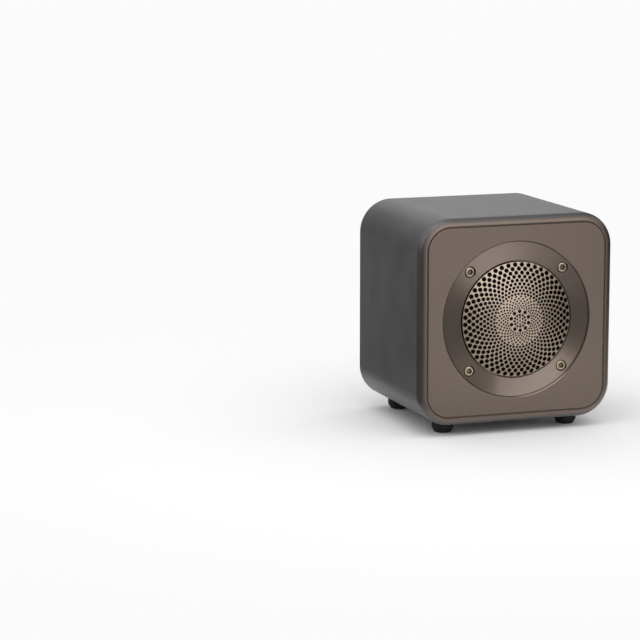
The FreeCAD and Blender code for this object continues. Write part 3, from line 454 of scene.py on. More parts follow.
# Clear as glass, with a very slight haze
clear_plastic = plain_finish(
    "clear_polycarbonate", ("#E4E6E6", "#F2F4F4"), (0.08, 0.16), 0.8, 0.002, CLEAR)
finishes = {slot: plain_finish(*recipe) for slot, recipe in INSIDE.items()}
finishes.update({
    "body_metal": body_metal, "bronze_metal": bronze_metal, "ring_metal": ring_metal,
    "bright_screw": bright_screw, "grille_metal": grille_metal, "cover_plastic": cover_plastic,
    "black_rubber": black_rubber, "dark_screw": dark_screw, "zinc_screw": zinc_steel,
    "zinc_steel": zinc_steel, "button_plastic": button_plastic, "black_plastic": black_plastic,
    "white_plastic": white_plastic, "clear_plastic": clear_plastic,
})
for part in frame["record"]["subparts"]:
    surfaces = nodes[part["node"]].data.materials
    surfaces.clear()
    surfaces.append(finishes[part["material_slot"]])
print("finished", len(nodes), "CAD nodes from", len(finishes), "slots")

# %% [markdown]
# ## Helpers for closed meshes
# Most pieces here are skins stretched over a row of loops: a lathe profile gives circles, the
# bezel gives rounded squares. A bmesh can bridge such loops in a few lines and leaves clean
# quads. Edges sharper than 30 degrees stay crisp, so flat faces shade flat.

# %% Loft loops into a piece
CREASE = math.radians(30)


def shade(mesh):
    """Smooth shading that stops at real edges."""
    mesh.shade_smooth()
    mesh.set_sharp_from_angle(angle=CREASE)


def show(name, mesh, material):
    """A new object at the origin for a mesh, in one material."""
    mesh.materials.append(material)
    piece = bpy.data.objects.new(name, mesh)
    bpy.context.collection.objects.link(piece)
    return piece


def loft(name, loops, material, closed=False):
    """Skins loops of points in order; a loop of one point is a pole."""
    bm = bmesh.new()
    rows = [[bm.verts.new(point) for point in loop] for loop in loops]
    pairs = list(zip(rows, rows[1:]))
    if closed:
        pairs.append((rows[-1], rows[0]))
    for near, far in pairs:
        count = max(len(near), len(far))
        for step in range(count):
            after = (step + 1) % count
            corners = (near[step % len(near)], near[after % len(near)],
                       far[after % len(far)], far[step % len(far)])
            bm.faces.new(dict.fromkeys(corners))
    bmesh.ops.recalc_face_normals(bm, faces=bm.faces)
    mesh = bpy.data.meshes.new(name)
    bm.to_mesh(mesh)
    bm.free()
    shade(mesh)
    return show(name, mesh, material)


def rounded(radius, steps, start, end):
    """Points (across, along) of an arc about the origin, between two angles in degrees."""
    angles = [math.radians(start + (end - start) * step / steps) for step in range(steps + 1)]
    return [(radius * math.cos(angle), radius * math.sin(angle)) for angle in angles]


print("edges sharper than", round(math.degrees(CREASE)), "degrees stay crisp")

# %% [markdown]
# ## The bezel
# The front plate is one piece: a face with an engraved line, a rounded edge that meets the
# body, and a round recess for the ring. Its section is the same all the way round, apart from
# going from a rounded square outside to a circle inside. A box cut by a cylinder would need its
# edges rounded afterwards. A loft gives them at once: every loop has the same number of points,
# and each point keeps its direction from the driver's axis.

# %% Loops of the bezel
EDGE_CORNER = 14.6 * MM
SIDE_STEPS, CORNER_STEPS = 24, 14


def rounded_square(inset, corner, y):
    """Points of the plate's outline, set in from the side of the body."""
    reach = half_width - inset - corner
    arcs = []
    for quarter in range(4):
        x_side = 1 if quarter in (0, 3) else -1
        z_side = 1 if quarter in (0, 1) else -1
        bend = rounded(corner, CORNER_STEPS, 90 * quarter, 90 * quarter + 90)
        arcs.append([Vector((x_side * reach + dx, y, axis_z + z_side * reach + dz)) for dx, dz in bend])
    points = []
    for arc, following in zip(arcs, arcs[1:] + arcs[:1]):
        steps = [arc[-1].lerp(following[0], step / SIDE_STEPS) for step in range(1, SIDE_STEPS)]
        points += arc + steps
    return points


def to_circle(points, radius, y):
    """The same directions from the driver's axis, drawn in to a circle."""
    loop = []
    for point in points:
        away = Vector((point.x, 0, point.z - axis_z)).normalized()
        loop.append(driver_axis + away * radius + Vector((0, y, 0)))
    return loop


print("each loop has", len(rounded_square(0.0, EDGE_CORNER, face_y)), "points")

# %% [markdown]
# The section runs from the back edge over the rounded edge, across the engraved line, down the
# steps of the recess and back along the spigot that fits into the body. The line is a notch, wider
# at the top than at its floor, as an engraving cutter leaves it.

# %% Section of the bezel
EDGE_ROUND = 3.2 * MM
EDGE_STEPS = 12
GROOVE = {"inset": 3.7 * MM, "half": 0.4 * MM, "floor": 0.05 * MM, "depth": 0.45 * MM, "corner": 10.0 * MM}
SPIGOT_INSET, SPIGOT_CORNER = 2.8 * MM, 11.8 * MM
RIM_RADIUS, GRILLE_SHEET = 25.1 * MM, 0.8 * MM
inner_radius = RIM_RADIUS - GRILLE_SHEET
edge_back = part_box("front_gasket")[0].y


def bezel_loops():
    """Loops of the bezel's section, from its back edge over the face and round behind."""
    loops = [rounded_square(0.0, EDGE_CORNER, edge_back)]
    for across, along in rounded(EDGE_ROUND, EDGE_STEPS, 0, 90):
        inset = EDGE_ROUND - across
        loops.append(rounded_square(inset, EDGE_CORNER - inset, face_y + EDGE_ROUND - along))
    half, floor = GROOVE["half"], GROOVE["floor"]
    for offset, deep in ((-half, 0), (-floor, 1), (floor, 1), (half, 0)):
        loops.append(rounded_square(GROOVE["inset"] + offset, GROOVE["corner"] - offset,
                                    face_y + deep * GROOVE["depth"]))
    guide = loops[-1]
    seat = grille_high.x + FLAT_PLAY
    for radius, y in ((recess_radius + RECESS_BREAK, face_y), (recess_radius, face_y + RECESS_BREAK),
                      (recess_radius, ring_high.y), (seat, ring_high.y), (seat, grille_high.y),
                      (inner_radius, grille_high.y), (inner_radius, plate_back)):
        loops.append(to_circle(guide, radius, y))
    loops.append(rounded_square(SPIGOT_INSET, SPIGOT_CORNER, plate_back))
    loops.append(rounded_square(SPIGOT_INSET, SPIGOT_CORNER, edge_back))
    return loops


bezel = loft("front_bezel", bezel_loops(), bronze_metal, closed=True)
print(bezel.name, len(bezel.data.polygons), "faces")

# %% [markdown]
# ## Helpers for modifiers
# A Boolean or a Geometry Nodes tree is a recipe that Blender keeps running.

# %% Settle modifiers and carve
def settle(piece):
    """Turns the piece's modifiers into plain mesh and removes them."""
    graph = bpy.context.evaluated_depsgraph_get()
    mesh = bpy.data.meshes.new_from_object(piece.evaluated_get(graph))
    piece.modifiers.clear()
    piece.data = mesh
    shade(mesh)
    return piece


def carve(piece, tool, operation="DIFFERENCE"):
    """Cuts away or joins on another closed mesh, which is then deleted."""
    cut = piece.modifiers.new("carve", "BOOLEAN")
    cut.operation = operation
    cut.solver = "MANIFOLD"
    cut.object = tool
    settle(piece)
    bpy.data.objects.remove(tool)
    return piece


# %% [markdown]
# ## Repeating a piece
# Screws, bosses and feet are one shape set down several times. A Geometry Nodes tree takes the
# single shape and instances it on points. That keeps the count and the spacing as inputs, where
# copies made by hand would have to be moved one by one. Every such tree starts with named inputs
# and ends in real geometry with a material, because the export drops instances.

# %% Start, end and run a tree
def new_tree(name, inputs, takes_geometry=True):
    """An empty Geometry Nodes tree with named inputs, and the sockets that they give."""
    tree = bpy.data.node_groups.new(name, "GeometryNodeTree")
    if takes_geometry:
        tree.interface.new_socket("Geometry", in_out="INPUT", socket_type="NodeSocketGeometry")
    for label, kind in inputs.items():
        tree.interface.new_socket(label, in_out="INPUT", socket_type="NodeSocket" + kind)
    tree.interface.new_socket("Geometry", in_out="OUTPUT", socket_type="NodeSocketGeometry")
    return tree, add(tree, "NodeGroupInput").outputs


def run_tree(piece, tree, values):
    """Runs a tree on a piece, with values set by each input's identifier."""
    modifier = piece.modifiers.new(tree.name, "NODES")
    modifier.node_group = tree
    for item in tree.interface.items_tree:
        if item.in_out == "INPUT" and item.name in values:
            modifier[item.identifier] = values[item.name]
    return settle(piece)


def end_tree(tree, geometry, material):
    """The last three nodes of a tree: real geometry, one material, output."""
    real = add(tree, "GeometryNodeRealizeInstances", {"Geometry": geometry})
    dressed = add(tree, "GeometryNodeSetMaterial", {"Geometry": real, "Material": material})
    add(tree, "NodeGroupOutput", {"Geometry": dressed})
    return tree


print("node groups so far:", len(bpy.data.node_groups))

# %% [markdown]
# The screws stand on a circle about the driver's axis. A mesh circle has a point for each of them.
# It lies flat when it is made, so it is tipped up to stand across Y, and turned to its first angle.

# %% Tree that repeats a piece on a circle
def circle_tree():
    """Repeats the piece at even steps round an axis along Y."""
    tree, given = new_tree("Repeat on a circle", {
        "Count": "Int", "Circle": "Float", "First angle": "Float", "Centre": "Vector",
        "Finish": "Material"})
    points = add(tree, "GeometryNodeMeshCircle", {"Vertices": given["Count"], "Radius": given["Circle"]})
    stand = add(tree, "ShaderNodeCombineXYZ", {"X": math.pi / 2, "Y": given["First angle"]})
    stood = add(tree, "GeometryNodeTransform", {
        "Geometry": points, "Translation": given["Centre"], "Rotation": stand})
    copies = add(tree, "GeometryNodeInstanceOnPoints", {"Points": stood, "Instance": given["Geometry"]})
    return end_tree(tree, copies, given["Finish"])


on_circle = circle_tree()
EIGHTH_TURN = math.radians(45)


def four_round(piece, circle, y, material):
    """Sets the piece down four times, on the diagonals about the driver's axis."""
    return run_tree(piece, on_circle, {
        "Count": 4, "Circle": circle, "First angle": EIGHTH_TURN,
        "Centre": (0.0, y, axis_z), "Finish": material})


print("tree:", on_circle.name, "with", len(on_circle.nodes), "nodes")

# %% [markdown]
# ## Turning
# Holes, bosses, the ring, the dome, the feet and the keys are lathe parts: one section swung round
# an axis. A Screw modifier could swing it. Here the points of every circle are worked out and given
# to the loft, which closes the poles and turns the faces outwards by itself.

# %% Turn a section
def round_points(count):
    """Cosine and sine of evenly spaced angles."""
    angles = [math.tau * step / count for step in range(count)]
    return [(math.cos(angle), math.sin(angle)) for angle in angles]


def turned(name, profile, material, count, upright=False, closed=False):
    """Turns (radius, along) points about the Y axis, or about Z where the piece is upright."""
    loops = []
    for radius, along in profile:
        loop = []
        for cosine, sine in round_points(count) if radius else [(0.0, 0.0)]:
            x, other = radius * cosine, radius * sine
            loop.append(Vector((x, other, along)) if upright else Vector((x, along, other)))
        loops.append(loop)
    return loft(name, loops, material, closed)


print("four points round a circle:", [(round(across), round(up)) for across, up in round_points(4)])

# %% [markdown]
# ## Holes and bosses behind the bezel
# Out of sight, four screws pass through the plate to the driver, and four bosses take the long
# screws from the rear. They are turned once, set down four times, and then joined or cut with
# the Manifold Boolean, which is quick on closed meshes.

# %% Screw holes and bosses of the bezel
TRIM_CIRCLE = 30.55 * MM
TRIM_HOLE = 1.35 * MM
BOSS_RADIUS, BOSS_HOLE = 3.6 * MM, 1.55 * MM
THREAD_DEPTH = 6.0 * MM
TIE_HEAD = 2.75 * MM
OVERCUT = 0.5 * MM
ROD_POINTS = 48
boss_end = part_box("front_baffle")[1].y
tie_circle = math.sqrt(2) * (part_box("tie_screws")[1].x - TIE_HEAD)


def rod(name, radius, length):
    """A plain cylinder back along Y from the origin, for joining and cutting."""
    return turned(name, [(0, 0), (radius, 0), (radius, length), (0, length)], bronze_metal, ROD_POINTS)


def stands_for(piece, body, slot, *solids):
    """Makes a piece ride on a body in place of CAD solids; the slot is not used."""
    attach(piece, body)
    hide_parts(*solids)


bosses = four_round(rod("bosses", BOSS_RADIUS, boss_end - plate_back + OVERCUT), tie_circle,
                    plate_back - OVERCUT, bronze_metal)
carve(bezel, bosses, "UNION")
threads = four_round(rod("threads", BOSS_HOLE, THREAD_DEPTH + OVERCUT), tie_circle,
                     boss_end - THREAD_DEPTH, bronze_metal)
carve(bezel, threads)
passages = four_round(rod("passages", TRIM_HOLE, plate_back - ring_high.y + 2 * OVERCUT), TRIM_CIRCLE,
                      ring_high.y - OVERCUT, bronze_metal)
carve(bezel, passages)
stands_for(bezel, "cabinet", "bronze_metal", "front_baffle")
print(bezel.name, "with bosses and holes:", len(bezel.data.polygons), "faces")

# %% [markdown]
# ## The trim ring
# A flat ring with broken edges is a lathe part, so its section is turned about the driver's
# axis. A Bevel modifier could break the edges of the four counterbores, but only after they are
# cut. One stepped tool, turned as well, cuts each hole and breaks its edge in one go.

# %% Turn the ring and cut its counterbores
RING_WIDTH = 8.3 * MM
EDGE_BREAK = 0.15 * MM
COUNTERBORE = 2.45 * MM
COUNTERBORE_DEPTH = 2.0 * MM
HOLE_BREAK = 0.12 * MM
RING_POINTS, TOOL_POINTS = 240, 64
ring_thick = ring_high.y - ring_low.y
ring_bore = ring_high.x - RING_WIDTH


def place(piece, offset):
    """Moves a piece in its mesh, so that its object stays at the origin."""
    piece.data.transform(Matrix.Translation(offset))
    return piece


ring_section = [
    (ring_bore + EDGE_BREAK, 0), (ring_high.x - EDGE_BREAK, 0), (ring_high.x, EDGE_BREAK),
    (ring_high.x, ring_thick), (ring_bore, ring_thick), (ring_bore, EDGE_BREAK)]
trim_ring = place(turned("turned_ring", ring_section, ring_metal, RING_POINTS, closed=True),
                  driver_axis + Vector((0, ring_low.y, 0)))
stepped_tool = turned("stepped_tool", [
    (0, -OVERCUT), (COUNTERBORE + HOLE_BREAK + OVERCUT, -OVERCUT), (COUNTERBORE, HOLE_BREAK),
    (COUNTERBORE, COUNTERBORE_DEPTH), (TRIM_HOLE, COUNTERBORE_DEPTH),
    (TRIM_HOLE, ring_thick + OVERCUT), (0, ring_thick + OVERCUT)], ring_metal, TOOL_POINTS)
carve(trim_ring, four_round(stepped_tool, TRIM_CIRCLE, ring_low.y, ring_metal))
stands_for(trim_ring, "cabinet", "ring_metal", "trim_ring")
print(trim_ring.name, len(trim_ring.data.polygons), "faces")

# %% [markdown]
# ## The bright screws
# Socket-head screws have a rounded rim and a hexagonal well for the key. One screw is lofted
# from loops that go from circles to hexagons with the same number of points, so that no cut is
# needed, and is set down four times by the tree.

# %% Loft one screw and repeat it
HEAD_RADIUS, HEAD_HEIGHT, HEAD_ROUND = 2.1 * MM, 1.7 * MM, 0.4 * MM
KEY_FLATS, KEY_BREAK = 2.4 * MM, 0.12 * MM
SHANK_RADIUS = 1.25 * MM
SCREW_POINTS, ROUND_STEPS = 48, 5
screws_low, screws_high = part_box("trim_screws")
shank_end = screws_high.y - screws_low.y


def hexagon_loop(flats, y):
    """A hexagon across Y, with as many points as the screw's circles."""
    loop = []
    for step, (cosine, sine) in enumerate(round_points(SCREW_POINTS)):
        in_side = (math.tau * step / SCREW_POINTS) % (math.pi / 3) - math.pi / 6
        radius = flats / 2 / math.cos(in_side)
        loop.append(Vector((radius * cosine, y, radius * sine)))
    return loop


def circle_loop(radius, y):
    """A circle across Y, with the screw's number of points."""
    return [Vector((radius * cosine, y, radius * sine)) for cosine, sine in round_points(SCREW_POINTS)]


rim = [circle_loop(HEAD_RADIUS - HEAD_ROUND + across, HEAD_ROUND - along)
       for across, along in rounded(HEAD_ROUND, ROUND_STEPS, 0, 90)]
screw_loops = [
    [Vector((0, shank_end, 0))], circle_loop(SHANK_RADIUS, shank_end), circle_loop(SHANK_RADIUS, HEAD_HEIGHT),
    circle_loop(HEAD_RADIUS, HEAD_HEIGHT), *rim, hexagon_loop(KEY_FLATS + 2 * KEY_BREAK, 0),
    hexagon_loop(KEY_FLATS, KEY_BREAK), hexagon_loop(KEY_FLATS, KEY_DEPTH), [Vector((0, KEY_DEPTH, 0))]]
one_screw = loft("bright_screws", screw_loops, bright_screw)
trim_screws = four_round(one_screw, TRIM_CIRCLE, screws_low.y, bright_screw)
stands_for(trim_screws, "cabinet", "bright_screw", "trim_screws")
print(trim_screws.name, len(trim_screws.data.polygons), "faces")

# %% [markdown]
# ## The perforated dome
# The grille is the showpiece: a pressed hat of sheet with 641 holes in rings. The rows draw
# closer and the holes finer towards the middle, and each row is turned half a step from the
# last. That is a rule, so Geometry Nodes can follow it: a group lays out rows of cutters square
# to the dome, and one Boolean punches them all. Painting the holes would look flat from the
# side, and the driver behind them could not be seen.

# %% Turn the sheet of the grille
DOME_RISE = 4.0 * MM
DOME_STEPS, SHEET_POINTS = 40, 144
dome_radius = (RIM_RADIUS ** 2 + DOME_RISE ** 2) / (2 * DOME_RISE)
dome_centre = Vector((0, grille_low.y + dome_radius, axis_z))


def dome_profile(sphere, reach):
    """Points (radius, along) of a dome about the dome's centre, from its top to a radius."""
    points = []
    for step in range(DOME_STEPS + 1):
        radius = reach * step / DOME_STEPS
        points.append((radius, dome_centre.y - math.sqrt(sphere ** 2 - radius ** 2)))
    return points


sheet_section = [
    *dome_profile(dome_radius, RIM_RADIUS), (RIM_RADIUS, ring_high.y), (grille_high.x, ring_high.y),
    (grille_high.x, grille_high.y), (inner_radius, grille_high.y),
    *reversed(dome_profile(dome_radius - GRILLE_SHEET, inner_radius))]
grille = place(turned("perforated_dome", sheet_section, grille_metal, SHEET_POINTS), driver_axis)
print("sheet:", len(grille.data.polygons), "faces, dome radius", round(dome_radius / MM, 2), "mm")

# %% [markdown]
# A row is a circle of holes, so everything about a hole follows from its number: the row is that
# number divided by the holes in a row, and the place in the row is what is left over. From these
# come the circle, the angle, the size of the hole and its point on the dome. Circles nested by
# hand would give the same holes, but with no inputs to adjust them.

# %% Circle, size and angle of a hole
HALF = 0.5


def row_circle(tree, given, row):
    """Radius of a row's circle; the step from row to row shrinks evenly inwards."""
    before = add(tree, "ShaderNodeMath", {0: row, 1: 1.0}, operation="SUBTRACT")
    pairs = add(tree, "ShaderNodeMath", {0: row, 1: before}, operation="MULTIPLY")
    gain = add(tree, "ShaderNodeMath", {0: pairs, 1: given["Step change"]}, operation="MULTIPLY")
    inwards = add(tree, "ShaderNodeMath", {0: row, 1: given["Row step"]}, operation="MULTIPLY")
    plain = add(tree, "ShaderNodeMath", {0: given["Outer circle"], 1: inwards}, operation="SUBTRACT")
    return add(tree, "ShaderNodeMath", {0: gain, 1: HALF, 2: plain}, operation="MULTIPLY_ADD")


def row_hole(tree, given, row):
    """Radius of a row's holes, from the first row's to the last row's."""
    last = add(tree, "ShaderNodeMath", {0: given["Rows"], 1: 1.0}, operation="SUBTRACT")
    span = add(tree, "ShaderNodeMath", {0: last, 1: 1.0}, operation="MAXIMUM")
    share = add(tree, "ShaderNodeMath", {0: row, 1: span}, operation="DIVIDE")
    return add(tree, "ShaderNodeMapRange", {
        "Value": share, "To Min": given["First hole"], "To Max": given["Last hole"]})


def hole_angle(tree, given, row, column):
    """Angle of a hole; every second row is turned by half a step."""
    odd = add(tree, "FunctionNodeIntegerMath", {0: row, 1: 2}, operation="MODULO")
    stagger = add(tree, "ShaderNodeMath", {0: odd, 1: HALF, 2: column}, operation="MULTIPLY_ADD")
    pitch = add(tree, "ShaderNodeMath", {0: math.tau, 1: given["Holes"]}, operation="DIVIDE")
    return add(tree, "ShaderNodeMath", {0: stagger, 1: pitch, 2: given["Turn"]}, operation="MULTIPLY_ADD")


print("every second row is turned by", HALF, "of a step")

# %% [markdown]
# The circle and the angle give a direction from the centre of the dome's sphere. A cutter stands
# there along that direction, so that it meets the sheet squarely, and is scaled to its hole.

# %% Group that lays out rows of hole cutters
HOLE_SIDES = 20


def from_centre(tree, given, circle, angle):
    """The way from the centre of the dome's sphere to a hole."""
    cosine = add(tree, "ShaderNodeMath", {0: angle}, operation="COSINE")
    sine = add(tree, "ShaderNodeMath", {0: angle}, operation="SINE")
    x = add(tree, "ShaderNodeMath", {0: circle, 1: cosine}, operation="MULTIPLY")
    z = add(tree, "ShaderNodeMath", {0: circle, 1: sine}, operation="MULTIPLY")
    square = add(tree, "ShaderNodeMath", {0: circle, 1: circle}, operation="MULTIPLY")
    whole = add(tree, "ShaderNodeMath", {0: given["Dome radius"], 1: 2.0}, operation="POWER")
    rest = add(tree, "ShaderNodeMath", {0: whole, 1: square}, operation="SUBTRACT")
    height = add(tree, "ShaderNodeMath", {0: rest}, operation="SQRT")
    ahead = add(tree, "ShaderNodeMath", {0: height, 1: -1.0}, operation="MULTIPLY")
    return add(tree, "ShaderNodeCombineXYZ", {"X": x, "Y": ahead, "Z": z})


def hole_rows_group():
    """Cutters in rows on the dome: each row a circle of holes, half a step from the last."""
    tree, given = new_tree("Hole rows", {
        "Rows": "Int", "Holes": "Int", "Outer circle": "Float", "Row step": "Float",
        "Step change": "Float", "First hole": "Float", "Last hole": "Float", "Turn": "Float",
        "Dome radius": "Float", "Dome centre": "Vector", "Depth": "Float"}, takes_geometry=False)
    index = add(tree, "GeometryNodeInputIndex")
    row = add(tree, "FunctionNodeIntegerMath", {0: index, 1: given["Holes"]}, operation="DIVIDE_FLOOR")
    column = add(tree, "FunctionNodeIntegerMath", {0: index, 1: given["Holes"]}, operation="MODULO")
    total = add(tree, "FunctionNodeIntegerMath", {0: given["Rows"], 1: given["Holes"]}, operation="MULTIPLY")
    hole = row_hole(tree, given, row)
    angle = hole_angle(tree, given, row, column)
    away = from_centre(tree, given, row_circle(tree, given, row), angle)
    spot = add(tree, "ShaderNodeVectorMath", {0: given["Dome centre"], 1: away}, operation="ADD")
    points = add(tree, "GeometryNodePoints", {"Count": total, "Position": spot})
    square_to = add(tree, "FunctionNodeAlignRotationToVector", {"Vector": away}, axis="Z")
    scale = add(tree, "ShaderNodeCombineXYZ", {"X": hole, "Y": hole, "Z": given["Depth"]})
    cutter = add(tree, "GeometryNodeMeshCylinder", {"Vertices": HOLE_SIDES, "Radius": 1.0, "Depth": 1.0})
    copies = add(tree, "GeometryNodeInstanceOnPoints", {
        "Points": points, "Instance": cutter, "Rotation": square_to, "Scale": scale})
    add(tree, "NodeGroupOutput", {"Geometry": copies})
    return tree


hole_rows = hole_rows_group()
print("group:", hole_rows.name, "with", len(hole_rows.nodes), "nodes")

# %% [markdown]
# The photograph shows six figures of holes, from a wide outer band to one hole in the middle.
# Each is one use of the group with its own numbers, in millimetres and degrees. One small turn is
# added to all, since the sheet was punched in one setting and then fitted a little turned.

# %% Six figures of holes
GRILLE_TURN = 2.5
FIGURES = [
    {"Rows": 9, "Holes": 48, "Outer circle": 24.0, "Row step": 1.72, "Step change": 0.05,
     "First hole": 1.03, "Last hole": 0.6, "Turn": 0.0},
    {"Rows": 6, "Holes": 30, "Outer circle": 10.5, "Row step": 0.97, "Step change": 0.0,
     "First hole": 0.47, "Last hole": 0.4, "Turn": 0.0},
    {"Rows": 1, "Holes": 10, "Outer circle": 4.2, "First hole": 0.83, "Turn": 18.0},
    {"Rows": 1, "Holes": 12, "Outer circle": 2.55, "First hole": 0.54, "Turn": 0.0},
    {"Rows": 1, "Holes": 6, "Outer circle": 1.41, "First hole": 0.44, "Turn": 30.0},
    {"Rows": 1, "Holes": 1, "Outer circle": 0.0, "First hole": 0.42, "Turn": 0.0},
]
print("holes:", [figure["Rows"] * figure["Holes"] for figure in FIGURES])

# %% [markdown]
# The Boolean leaves the sheet and the walls of its holes in one mesh. The sheet faces along the
# dome's radius and a wall faces across it, so the angle between a face and that radius tells which
# faces take the painted shade. Picking them by hand would have to be done again after every change.

# %% Punch the figures
COUNTS = ("Rows", "Holes")
CUTTER_DEPTH = 4 * GRILLE_SHEET
WALL_FACING = 0.5


def punching_tree():
    """Cuts every figure of holes out of the sheet in one go."""
    tree, given = new_tree("Punch the dome", {
        "Dome radius": "Float", "Dome centre": "Vector", "Depth": "Float", "Finish": "Material",
        "Painted wall shade": "Material"})
    cutters = add(tree, "GeometryNodeJoinGeometry")
    for figure in FIGURES:
        rows = add(tree, "GeometryNodeGroup", node_tree=hole_rows)
        for label, value in figure.items():
            if label == "Turn":
                value = math.radians(value + GRILLE_TURN)
            elif label not in COUNTS:
                value = value * MM
            rows.inputs[label].default_value = value
        for label in ("Dome radius", "Dome centre", "Depth"):
            tree.links.new(given[label], rows.inputs[label])
        tree.links.new(rows.outputs[0], cutters.inputs[0])
    solid = add(tree, "GeometryNodeRealizeInstances", {"Geometry": cutters})
    punched = add(tree, "GeometryNodeMeshBoolean", {"Mesh 1": given["Geometry"], "Mesh 2": solid},
                  operation="DIFFERENCE", solver="MANIFOLD")
    real = add(tree, "GeometryNodeRealizeInstances", {"Geometry": punched})
    sheet = add(tree, "GeometryNodeSetMaterial", {"Geometry": real, "Material": given["Finish"]})
    outward = add(tree, "ShaderNodeVectorMath", {
        0: add(tree, "GeometryNodeInputPosition"), 1: given["Dome centre"]}, operation="SUBTRACT")
    straight = add(tree, "ShaderNodeVectorMath", {0: outward}, operation="NORMALIZE")
    facing = add(tree, "ShaderNodeVectorMath", {
        0: straight, 1: add(tree, "GeometryNodeInputNormal")}, operation="DOT_PRODUCT").outputs["Value"]
    size = add(tree, "ShaderNodeMath", {0: facing}, operation="ABSOLUTE")
    # Walls of the holes get the painted shade
    wall = add(tree, "FunctionNodeCompare", {0: size, 1: WALL_FACING}, operation="LESS_THAN")
    dressed = add(tree, "GeometryNodeSetMaterial", {
        "Geometry": sheet, "Selection": wall, "Material": given["Painted wall shade"]})
    add(tree, "NodeGroupOutput", {"Geometry": dressed})
    return tree


run_tree(grille, punching_tree(), {
    "Dome radius": dome_radius, "Dome centre": tuple(dome_centre), "Depth": CUTTER_DEPTH,
    "Finish": grille_metal, "Painted wall shade": hole_shade_metal})
stands_for(grille, "cabinet", "grille_metal", "grille")
print(grille.name, len(grille.data.polygons), "faces")

# %% [markdown]
# ## The feet
# Four rubber feet, tapered below, with a sunk screw. Each could be turned in its place, but one
# foot set on the corners of a rectangle by a tree keeps them alike and square. A grid of two by
# two points gives the corners.

# %% Tree that repeats a piece on four corners
def corners_tree():
    """Repeats the piece on the four corners of a level rectangle."""
    tree, given = new_tree("Repeat on four corners", {
        "Width": "Float", "Length": "Float", "Centre": "Vector", "Finish": "Material"})
    points = add(tree, "GeometryNodeMeshGrid", {
        "Size X": given["Width"], "Size Y": given["Length"], "Vertices X": 2, "Vertices Y": 2})
    moved = add(tree, "GeometryNodeTransform", {"Geometry": points, "Translation": given["Centre"]})
    copies = add(tree, "GeometryNodeInstanceOnPoints", {"Points": moved, "Instance": given["Geometry"]})
    return end_tree(tree, copies, given["Finish"])


on_corners = corners_tree()
print("tree:", on_corners.name, "with", len(on_corners.nodes), "nodes")

# %% [markdown]
# The foot is turned upright with a soft lower edge. The tops of all four are then cut to the round
# of the body, so that no gap shows where the corner begins to curve.

# %% Turn one foot and set four
FOOT_RADIUS, FOOT_TIP, FOOT_TAPER = 4.8 * MM, 3.5 * MM, 2.1 * MM
TIP_ROUND = 0.9 * MM
SCREW_WELL, WELL_DEPTH = 1.9 * MM, 2.2 * MM
SCREW_WAY = 1.1 * MM
FOOT_POINTS, TIP_STEPS = 64, 6
FEET = ("foot_front_left", "foot_front_right", "foot_rear_left", "foot_rear_right")
foot_boxes = [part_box(name) for name in FEET]
foot_x = [(low.x + high.x) / 2 for low, high in foot_boxes]
foot_y = [(low.y + high.y) / 2 for low, high in foot_boxes]
foot_top = max(high.z for low, high in foot_boxes) + OVERCUT

slope = math.atan2(FOOT_TAPER, FOOT_RADIUS - FOOT_TIP)
tip_centre = FOOT_TIP - TIP_ROUND * math.tan(slope / 2)
tip = [(tip_centre + across, TIP_ROUND + along)
       for across, along in rounded(TIP_ROUND, TIP_STEPS, -90, -90 + math.degrees(slope))]
foot_section = [
    (SCREW_WAY, WELL_DEPTH), (SCREW_WELL, WELL_DEPTH), (SCREW_WELL, 0), *tip,
    (FOOT_RADIUS, FOOT_TAPER), (FOOT_RADIUS, foot_top), (SCREW_WAY, foot_top)]
feet = turned("rubber_feet", foot_section, black_rubber, FOOT_POINTS, upright=True, closed=True)
run_tree(feet, on_corners, {
    "Width": max(foot_x) - min(foot_x), "Length": max(foot_y) - min(foot_y),
    "Centre": (0.0, (max(foot_y) + min(foot_y)) / 2, 0.0), "Finish": black_rubber})
outline = [rounded_square(0.0, EDGE_CORNER, y) for y in (shell_low.y, shell_high.y)]
middle = [[driver_axis + Vector((0, y, 0))] for y in (shell_low.y, shell_high.y)]
carve(feet, loft("body_form", [middle[0], *outline, middle[1]], black_rubber))
stands_for(feet, "cabinet", "black_rubber", *FEET)
print(feet.name, len(feet.data.polygons), "faces")

# %% [markdown]
# ## The keys
# Three round keys stand a little out of the rear cover: less, power and more. Each is turned as
# its solid is, with a crowned edge and a shallow dish for the finger, which a bevelled cylinder
# would lack. Each carries a plain sign in pale ink, sunk into the key. The signs ride with their
# keys, so they go in when pressed.

# %% Turn the keys
KEY_RADIUS, KEY_CROWN, KEY_DISH = 4.4 * MM, 0.3 * MM, 0.12 * MM
FLANGE_RADIUS, FLANGE_THICK = 5.6 * MM, 0.8 * MM
STEM_RADIUS = 1.6 * MM
DISH_REACH = 3.4 * MM
DISH_STEPS, KEY_POINTS = 6, 72
cover_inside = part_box("rear_gasket")[1].y
KEYS = ("minus", "power", "plus")


def key_section(low_y, top_y):
    """Profile of a key, from the end of its stem to the middle of its dished top."""
    crown = [(KEY_RADIUS - KEY_CROWN + across, top_y - KEY_CROWN + along)
             for across, along in rounded(KEY_CROWN, ROUND_STEPS, 0, 90)]
    dish = []
    for step in range(DISH_STEPS + 1):
        radius = DISH_REACH * (1 - step / DISH_STEPS)
        dish.append((radius, top_y - KEY_DISH * (1 - (radius / DISH_REACH) ** 2)))
    flange_back = cover_inside - FLANGE_THICK
    return [(0, low_y), (STEM_RADIUS, low_y), (STEM_RADIUS, flange_back), (FLANGE_RADIUS, flange_back),
            (FLANGE_RADIUS, cover_inside), (KEY_RADIUS, cover_inside), *crown, *dish]


